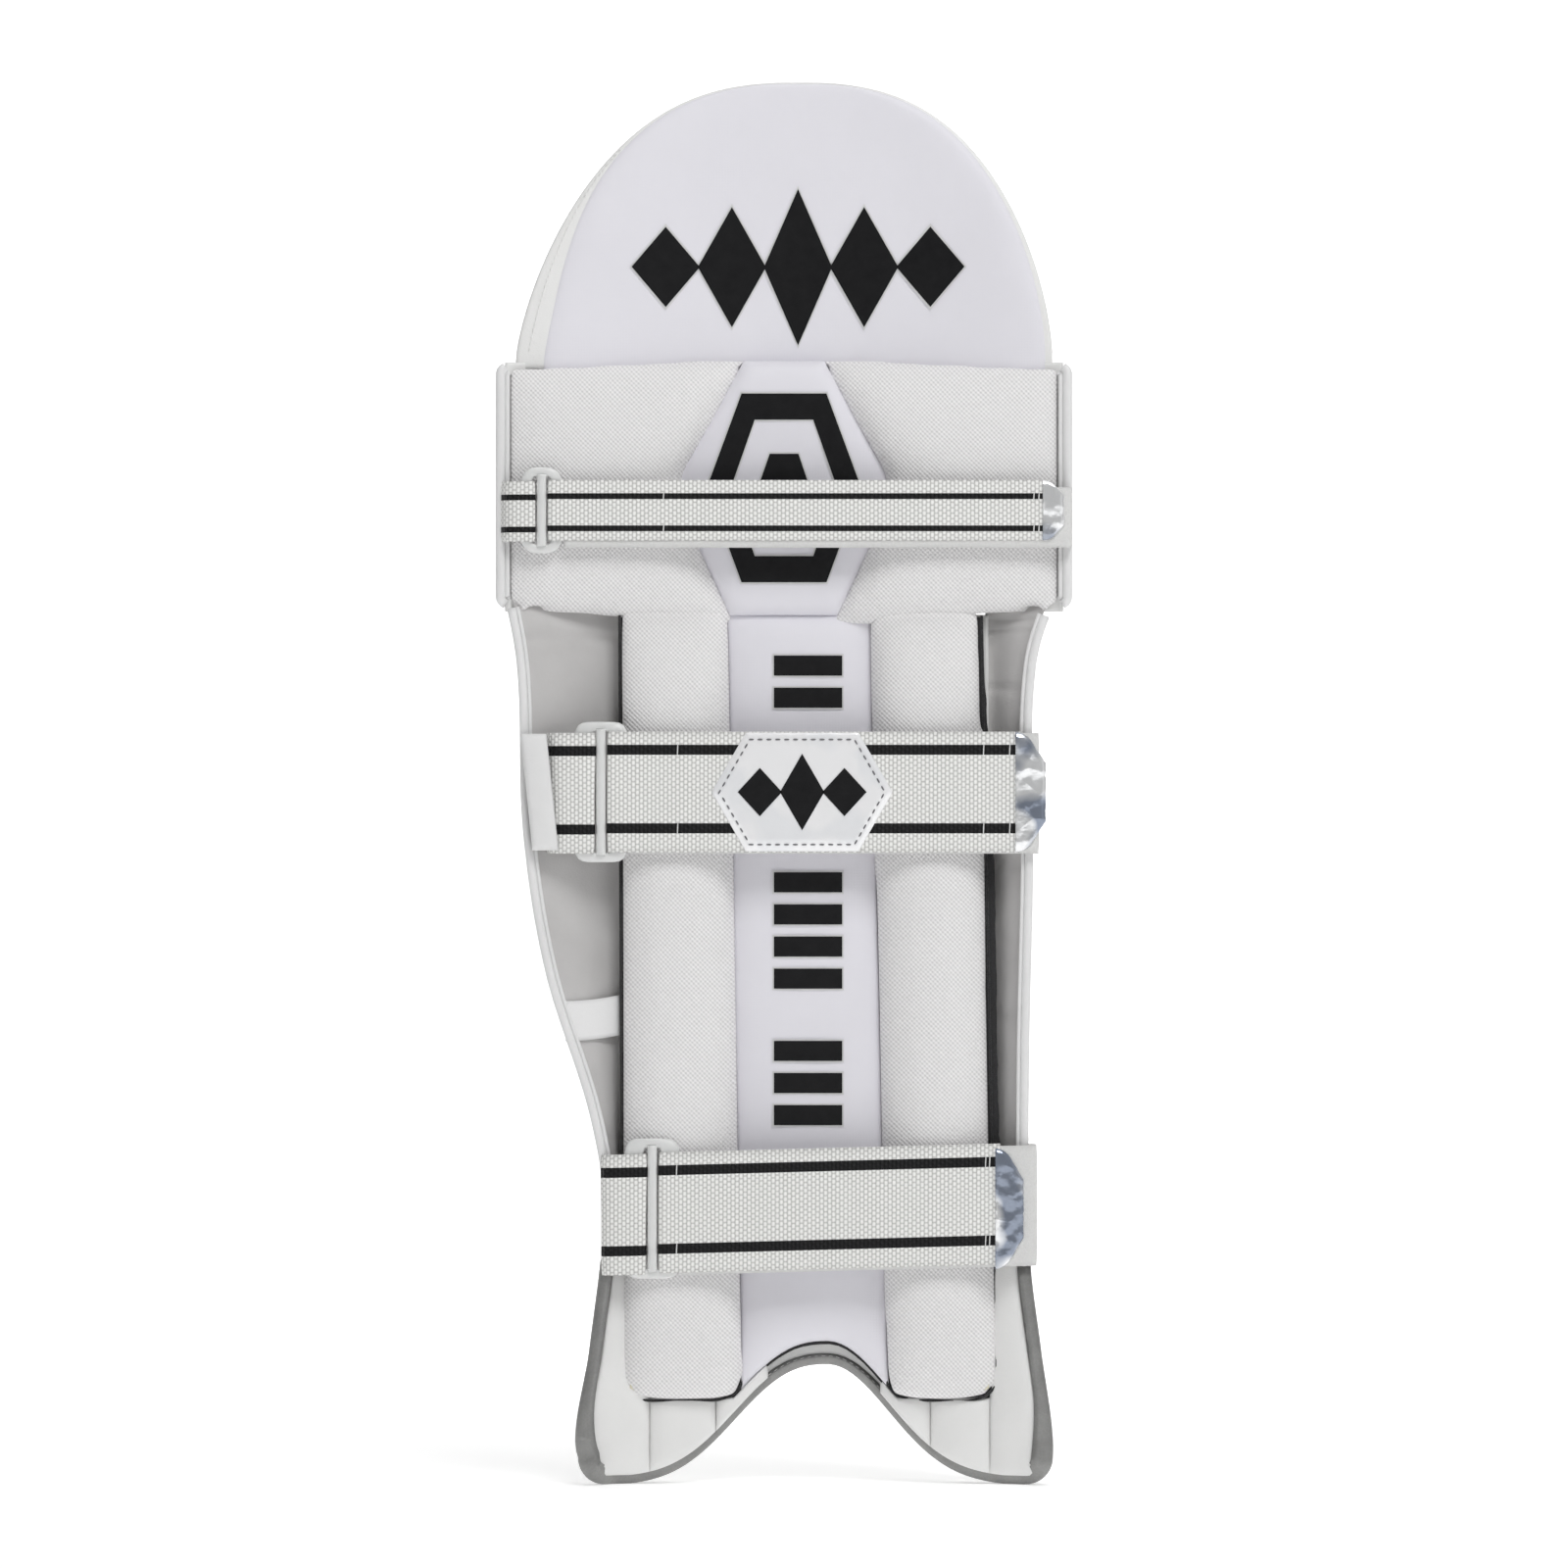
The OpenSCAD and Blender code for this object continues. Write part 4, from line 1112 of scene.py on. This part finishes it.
def hat_lining_y(x, z):
    return knee_y(x) - 3.5


def dome_spot(left_inset, right_inset, top_inset, low, front, back):
    """spot(u, v) over the dome, with its rows drawn together towards the top."""
    top = PAD_TOP - top_inset

    def spot(u, v):
        z = mix(low, top, math.sin(v * math.pi / 2) * 0.9995)
        k = clamp((z - HAT_Z) / (top - HAT_Z))
        half = hat_half_at(k) / HAT_HALF
        left = HAT_LEAN * k - half * (HAT_HALF - left_inset(k))
        right = HAT_LEAN * k + half * (HAT_HALF - right_inset(k))
        u = spaced(u)
        x = mix(left, right, u)
        return (x, front(x, z, u, v), z), (x, back(x, z, u, v), z)
    return spot


def make_hat_lining():
    """Smooth lining over the leg side of the top hat."""
    def front(x, z, u, v):
        edge = crown(u, mix(0.5, 1, v), 0.0, 14, 20)
        return mix(knee_y(x) + 1.5, hat_lining_y(x, z), edge) - 0.5 * wrinkle(x, z, 45, 1)

    def back(x, z, u, v):
        return knee_y(x) + 3
    spot = dome_spot(hat_rim_w, lambda k: mix(3, 1.2, k), 1.2, HAT_Z - 10, front, back)
    piece = make_piece("top_hat_lining_cloth", *solid_of(spot, 70, 60), SATIN)
    finish_piece(piece, None, "smooth_lining", "top_hat_lining", padded=0.6)
    bend_at_hat(piece)


def bend_at_hat(piece):
    """Bake the transform of a piece that crosses the knee seam into its mesh."""
    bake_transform(piece)


def make_hat_shell():
    """Foam, face and rim of the top hat as one closed shell of coated cloth."""
    def front(x, z, u, v):
        return knee_y(x) + 1.6 - 2.2 * crown(u, mix(0.5, 1, v), 0, 20, 30)

    def back(x, z, u, v):
        edge = crown(u, mix(0.5, 1, v), 0.0, 10, 14)
        return knee_y(x) + mix(6, 19, edge) + 0.4 * wrinkle(x, z, 30, 2)
    spot = dome_spot(lambda k: 0.3, lambda k: 0.3, 0.3, HAT_Z - 5, front, back)
    piece = make_piece("top_hat_shell", *solid_of(spot, 80, 60), PU)
    finish_piece(piece, None, "white_pu", "top_hat_face", "top_hat_foam", "top_hat_piping", padded=0.6)
    bend_at_hat(piece)


def dome_path(inset, low=HAT_Z + 4):
    """Up the left side of the dome, over its top and down the right, as (x, z) points."""
    right = []
    steps = 40
    for i in range(steps + 1):
        k = mix((low - HAT_Z) / (PAD_TOP - HAT_Z), 1, math.sin(math.pi / 2 * i / steps))
        gap = inset(k)
        half = max(0, hat_half_at(k) * (1 - gap / HAT_HALF))
        right.append((HAT_LEAN * k, half, mix(HAT_Z, PAD_TOP - gap * k, k)))
    left = [(lean - half, z) for lean, half, z in right]
    return left + [(lean + half, z) for lean, half, z in right[-2::-1]]


def make_hat_edge():
    """Piping round the dome, and the seam where the lining meets the shell."""
    outer = [(x, knee_y(x) + 8, z) for x, z in dome_path(lambda k: 0.0)]
    roll = 2.2
    tube = [(-roll - a, b) for a, b in oval(roll, roll)][::-1]
    piece = make_piece("top_hat_piping_roll", *swept(outer, lambda i: tube), PIPING)
    finish_piece(piece, "top_hat", "piping")
    seam = [(x, knee_y(x) - 0.7, z) for x, z in dome_path(lambda k: hat_rim_w(k) / 2)]
    seam_top = 670
    left_seam = [p for p in seam if p[0] < 0 and p[2] < seam_top]
    stitches = stitch_row("top_hat_seam_stitches", [left_seam], THREAD, 3.2, 2.2, 0.28)
    finish_piece(stitches, "top_hat", "piping")


def hat_channel(left, right, bottom, crest_y):
    """One channel of the top hat, ending where it meets the dome's edge."""
    margin = 13

    def ends(x):
        below, above = 0.0, 0.97
        for _ in range(16):
            k = (below + above) / 2
            if hat_half_at(k) - margin > abs(x - HAT_LEAN * k):
                below = k
            else:
                above = k
        return bottom, mix(HAT_Z, PAD_TOP, below) - 5

    def front(x, z, u, v):
        return knee_y(x) + 14

    def back(x, z, u, v):
        return mix(knee_y(x) + 18, crest_y, crown(u, v, 0, 2, 12)) - 0.5 * abs(wrinkle(x, z, 18, 7))
    return solid_of(outline_spot(lambda z: (left, right), ends, front, back), 16, 50)


def make_hat_channels():
    low, high = box_mm("top_hat_channels")
    pitch = (high[0] - low[0]) / CHANNELS
    lefts = [low[0] + pitch * i for i in range(CHANNELS)]
    parts = [hat_channel(left, left + pitch - 0.3, low[2], high[1]) for left in lefts]
    piece = join_parts("top_hat_channel_covers", parts, PU)
    finish_piece(piece, "top_hat", "white_pu", "top_hat_channels", padded=0.7)


def lozenge(x, z, half_w, half_h):
    return [(x - half_w, z), (x, z - half_h), (x + half_w, z), (x, z + half_h)]


def make_hat_print():
    """Row of five plain lozenges, the tallest in the middle."""
    centre_z, pitch, half_w = 607, 33, 17
    inked, edged = [], []
    for i, half_h in enumerate((20, 30, 39, 30, 20)):
        x = HAT_LEAN + (i - 2) * pitch
        inked.append(lozenge(x, centre_z, half_w, half_h))
        edged.append(lozenge(x, centre_z, half_w + 1, half_h + 1.6))
    make_edged_print("top_hat_print", "top_hat", hat_lining_y, (inked, 0.45, 0.3), (edged, 0.2, 0.25), 12)


def bar_shape(x, z, half_w, half_h):
    return [(x - half_w, z - half_h), (x + half_w, z - half_h), (x + half_w, z + half_h),
            (x - half_w, z + half_h)]


def make_shin_print(surface):
    """Column of plain blocks down the centre panel."""
    x, half_w, half_h, rim = 12, 17, 5, 0.8
    heights = (408, 392, 300, 284, 268, 252, 216, 200, 184)
    inked = [bar_shape(x, z, half_w, half_h) for z in heights]
    edged = [bar_shape(x, z, half_w + rim, half_h + rim) for z in heights]
    make_edged_print("shin_print", "pad", surface, (inked, 0.55, 0.3), (edged, 0.3, 0.25), 8)


# ---------------------------------------------------------------- straps

FLAP_THICK, STRAP_THICK, LOOP_THICK = 1.4, 1.1, 1.5


def webbing(name, path, middle, width, thick, material, flutter=0.0, seed=0):
    """Webbing along a plan path of (x, y) points about a millimetre apart; middle(x) is its mid height."""
    cols, rows = len(path) - 1, 14
    run = [0.0]
    for a, b in zip(path, path[1:]):
        run.append(run[-1] + math.hypot(b[0] - a[0], b[1] - a[1]))

    def spot(u, v):
        i = round(u * cols)
        x, y = path[i]
        ahead_x, ahead_y = heading(path, i, 1)
        body = thick / 2 * (1 - 0.75 * abs(2 * v - 1) ** 10)
        bead = 0.22 * math.sin(run[i] * math.pi) if v in (0, 1) else 0
        lift = flutter * wrinkle(run[i], v * width, 40, seed)
        z = middle(x) + (v - 0.5) * width + bead * (1 if v else -1)
        return [(x + ahead_y * away, y - ahead_x * away, z) for away in (lift + body, lift - body)]
    uvs = [(length / 10, j / rows * width / 10) for j in range(rows + 1) for length in run]
    return make_piece(name, *solid_of(spot, cols, rows), material, uvs + uvs)


def plan_path(corners, step=1.0):
    """Points about a step apart along a plan polyline, with its corners rounded off."""
    rounded = [Vector(c) for c in corners]
    for _ in range(3):
        cut = [rounded[0]]
        for a, b in zip(rounded, rounded[1:]):
            cut += [a.lerp(b, 0.25), a.lerp(b, 0.75)]
        rounded = cut + [rounded[-1]]
    path, left = [tuple(rounded[0])], step
    for a, b in zip(rounded, rounded[1:]):
        run = (b - a).length
        while left <= run:
            path.append(tuple(a.lerp(b, left / run)))
            left += step
        left -= run
    return path + [tuple(rounded[-1])]


def bulged(share, power):
    """Share from -1 to 1, drawn towards its ends."""
    return math.copysign(abs(share) ** power, share)


def make_ring(name, low, high):
    """Flat moulded ring with wide side bars, rounded corners and a bar down its middle."""
    mid_x, y, mid_z = centre_of(low, high)
    half_w, half_h = (high[0] - low[0]) / 2 + 0.6, (high[2] - low[2]) / 2 + 0.4
    slot_w, slot_h = 5.0, half_h - 4.6
    thick = 1.7
    count, ring = 96, 12
    squareness = 3.2 if half_h < 25 else 6

    def edge(a, w, h, power):
        c, s = math.cos(a), math.sin(a)
        size = (abs(c / w) ** power + abs(s / h) ** power) ** (-1 / power)
        return Vector((c * size, s * size))
    points = []
    for i in range(count):
        a = 2 * math.pi * i / count
        outer, inner = edge(a, half_w, half_h, squareness), edge(a, slot_w, slot_h, 8)
        middle, reach = (outer + inner) / 2, (outer - inner) / 2
        for j in range(ring):
            b = 2 * math.pi * j / ring
            spot = middle + reach * bulged(math.cos(b), 0.6)
            points.append((mid_x + spot.x, y + thick * bulged(math.sin(b), 0.8), mid_z + spot.y))
    faces = [[i * ring + j, ((i + 1) % count) * ring + j, ((i + 1) % count) * ring + (j + 1) % ring,
              i * ring + (j + 1) % ring] for i in range(count) for j in range(ring)]
    bar = [(mid_x, y - 1.4, mid_z + k * (slot_h + 1)) for k in (-1, -0.95, 0, 0.95, 1)]
    section = oval(2.4, 2.2)
    return join_parts(name, [(points, faces), swept(bar, lambda i: section)], PLASTIC)


def make_tip(name, low, high):
    """Foil-covered point of a flap, creased and frayed at its edge."""
    run, mid_z, half_h = high[0] - low[0], (low[2] + high[2]) / 2, (high[2] - low[2]) / 2

    def spot(u, v):
        side = 2 * v - 1
        z = mid_z + side * half_h * (1 - 0.12 * u * u)
        reach = run * (1 - 0.55 * max(0, abs(side) - 0.55) / 0.45)
        x = low[0] - 1 + u * (reach + 1) + (0.35 * wrinkle(z, 0, 2.2, 4) if u == 1 else 0)
        puff = crown(mix(0.3, 1, u), v, 0.25, 5, 7)
        crumple = 0.45 * wrinkle(x, z, 5, 3)
        return (x, high[1] - (high[1] - low[1]) * puff - crumple, z), (x, high[1] + 0.3, z)
    return make_piece(name, *solid_of(spot, 16, 40), FOIL)


def joint_at(name):
    return next(j for j in frame["joints"] if j["name"] == name)["pos_m"]


def blend_across(piece):
    """Bake the transform of a piece that runs between two bodies into its mesh."""
    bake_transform(piece)


def make_strap(name, material, tail_x, tilt, sag_z):
    """One strap: its loop, ring, under run, flap and tip."""
    ring_low, ring_high = box_mm(name + "_buckle")
    flap_low, flap_high = box_mm(name + "_flap")
    tip_low, tip_high = box_mm(name + "_strap_tip")
    under_y = box_mm(name + "_strap")[1][1] - 2.1
    anchor_low, anchor_high = box_mm(name + "_strap_anchor")
    mid_x, ring_y, _ = centre_of(ring_low, ring_high)
    _, flap_y, mid_z = centre_of(flap_low, flap_high)
    width = flap_high[2] - flap_low[2]

    def middle(x):
        return mid_z + tilt * (x - 15) / 100

    def sagged(x):
        return middle(x) - sag_z

    ring = make_ring(name + "_ring_buckle", ring_low, ring_high)
    finish_piece(ring, name + "_buckle", "clear_plastic", name + "_buckle")

    fold = [(mid_x + 3.5, ring_y + 2.2), (mid_x + 3.5, ring_y - 1.2), (mid_x + 4.0, flap_y - 0.1),
            (mid_x + 9, flap_y - 0.2)]
    flap_path = plan_path(fold + [(tip_low[0] + 1.5, flap_y)])
    flap = webbing(name + "_flap_webbing", flap_path, middle, width, FLAP_THICK, material, 0.3, 1)
    finish_piece(flap, None, "webbing", name + "_flap")
    blend_across(flap)

    fold_x = joint_at(name + "_strap_swing")[0] / MM
    turn_x = anchor_high[0] - 0.6
    run = [(ring_high[0] + 0.5, under_y), (fold_x - 6, under_y), (turn_x, under_y + 0.4),
           (turn_x, under_y + 3)]
    strap = webbing(name + "_strap_webbing", plan_path(run), sagged, width, STRAP_THICK, PILE, 0.1, 2)
    finish_piece(strap, None, "webbing", name + "_strap")
    blend_across(strap)

    outside = [(turn_x, under_y + 2), (turn_x, under_y + 6), (turn_x, anchor_high[1] - 14),
               (anchor_low[0] + 8, anchor_high[1] - 5), (anchor_low[0] - 4, anchor_high[1] + 1)]
    tail = webbing(name + "_anchor_webbing", plan_path(outside), sagged, width, STRAP_THICK, PILE)
    finish_piece(tail, "pad", "webbing", name + "_strap_anchor")

    edge_y = leg_y(tail_x, mid_z) if mid_z < SEAM_Z else knee_y(tail_x) - 2
    path = [(tail_x, edge_y - 2.2), (tail_x + 3, flap_y + 1.2), (mid_x - 8, flap_y - 0.1),
            (mid_x - 4, flap_y - 0.1), (mid_x - 3.5, ring_y - 1.2), (mid_x - 3.5, ring_y + 2.2)]
    loop = webbing(name + "_loop_webbing", plan_path(path), lambda x: middle(x) - 0.6, width, LOOP_THICK,
                   material, 0.7, 3)
    finish_piece(loop, None, "webbing", name + "_buckle_loop")
    blend_across(loop)

    tip = make_tip(name + "_foil_tip", tip_low, tip_high)
    finish_piece(tip, name + "_flap", "foil", name + "_strap_tip")

    hook = bpy.data.objects[name + "_hook_patch"]
    for slot in hook.material_slots:
        slot.material = HOOKS
    return middle, flap_low[1]


def make_bar_tacks(name, columns, lines, middle, y, body):
    """White bar tacks that cross the black lines."""
    paths = []
    for x in columns:
        for offset, width in lines:
            z = middle(x) + offset
            paths.append([(x, y - 0.35, z - width), (x + 0.3, y - 0.35, z + width)])
    parts = [stitch_part((Vector(a) + Vector(b)) / 2, (Vector(b) - Vector(a)).normalized(),
                         (Vector(b) - Vector(a)).length, 0.3) for a, b in paths]
    finish_piece(join_parts(name, parts, THREAD), body, "webbing")


def make_straps():
    wide, narrow = ((-18, 3.4), (21, 3.4)), ((-9, 2.4), (7, 2.4))
    middle, y = make_strap("knee", NARROW_WEB, -140.5, 0.0, 3.6)
    make_bar_tacks("knee_bar_tacks", (-60, 124, 126.5), narrow, middle, y, "knee_flap")
    middle, y = make_strap("calf", WIDE_WEB, -118, 0.0, 0.6)
    make_bar_tacks("calf_bar_tacks", (-53, 99, 112), wide, middle, y, "calf_flap")
    middle, y = make_strap("ankle", WIDE_WEB, -90.5, 2.6, 1.2)
    make_bar_tacks("ankle_bar_tacks", (-53.5, 100, 102), wide, middle, y, "ankle_strap")


def make_badge():
    """Stitched foil hexagon with a plain lozenge emblem."""
    low, high = box_mm("calf_badge")
    mid_x, _, mid_z = centre_of(low, high)
    half_w, half_h = (high[0] - low[0]) / 2, (high[2] - low[2]) / 2
    flat = 28.0

    def reach(t):
        """Half its width at a share of its half height; flat is half the width of its top."""
        return mix(half_w, flat, abs(t))

    def front_y(x, z):
        t = (z - mid_z) / half_h
        edge = min(reach(t) - abs(x - mid_x), half_h - abs(z - mid_z))
        return low[1] + 0.9 * (1 - ramp(0, 3.2, edge)) + 0.25 * bell(edge - 3.4, 0.8)

    def spot(u, v):
        t = 2 * spaced(v, 0.4) - 1
        z = mid_z + t * half_h
        x = mid_x + (2 * spaced(u, 0.5) - 1) * reach(t)
        return (x, front_y(x, z), z), (x, high[1] + 0.2, z)
    piece = make_piece("calf_badge_foil", *solid_of(spot, 60, 40), BADGE_FOIL)
    finish_piece(piece, "calf_flap", "foil", "calf_badge")
    inset = 3.4
    w, h = half_w - inset * 1.15, half_h - inset
    corners = [(w, 0), (flat - inset * 0.6, h), (-flat + inset * 0.6, h), (-w, 0), (-flat + inset * 0.6, -h),
               (flat - inset * 0.6, -h), (w, 0)]
    path = [(mid_x + x, low[1] - 0.05, mid_z + z) for x, z in corners]
    finish_piece(stitch_row("calf_badge_stitches", [path], GREY_THREAD, 4.4, 2.6, 0.42), "calf_flap", "foil")
    lozenges = [lozenge(mid_x + (i - 1) * 21, mid_z, 11, half_h) for i, half_h in enumerate((12, 19, 12))]
    emblem = [plate_parts(corners, lambda x, z: low[1], -0.1, 0.35, 6) for corners in lozenges]
    make_print("calf_badge_emblem", emblem, INK, "calf_flap", "foil")


def make_anchor_tab():
    """White tab folded round the wing's edge over the end of the calf loop."""
    low, high = box_mm("calf_anchor_tab")

    def spot(u, v):
        z = mix(low[2], high[2], v)
        x = mix(low[0], high[0], u) - 3 + 6 * (1 - v)
        puff = crown(u, v, 0.2, 3, 20)
        return (x, high[1] + 0.6 - 2.6 * puff, z), (x, high[1] + 3.2 * (1 - u), z)
    finish_piece(make_piece("calf_anchor_tab_cover", *solid_of(spot, 14, 40), PIPING), "pad", "white_pu",
                 "calf_anchor_tab")


def dress_inner_parts():
    """The hidden nodes keep their own shapes and get a real material."""
    for node, material in (("cane_rods", CANE), ("bolster_cores", FOAM), ("knee_roll_cores", FOAM)):
        for slot in bpy.data.objects[node].material_slots:
            slot.material = material


make_camera()
make_studio()
make_bolster("left_shin_bolster", -1)
make_bolster("right_shin_bolster", 1)
make_shin_print(make_centre_panel())
make_backing()
make_wings()
make_shin_core()
make_instep_cells()
make_instep_binding()
make_wing_piping()
make_label()
make_knee_wing("left_knee_wing", -1)
make_knee_wing("right_knee_wing", 1)
make_knee_patch()
make_knee_print()
make_knee_face()
for number in (1, 2, 3):
    make_knee_roll(number)
for number in range(1, CHANNELS + 1):
    make_channel(number)
make_hat_lining()
make_hat_shell()
make_hat_edge()
make_hat_channels()
make_hat_print()
make_straps()
make_badge()
make_anchor_tab()
dress_inner_parts()
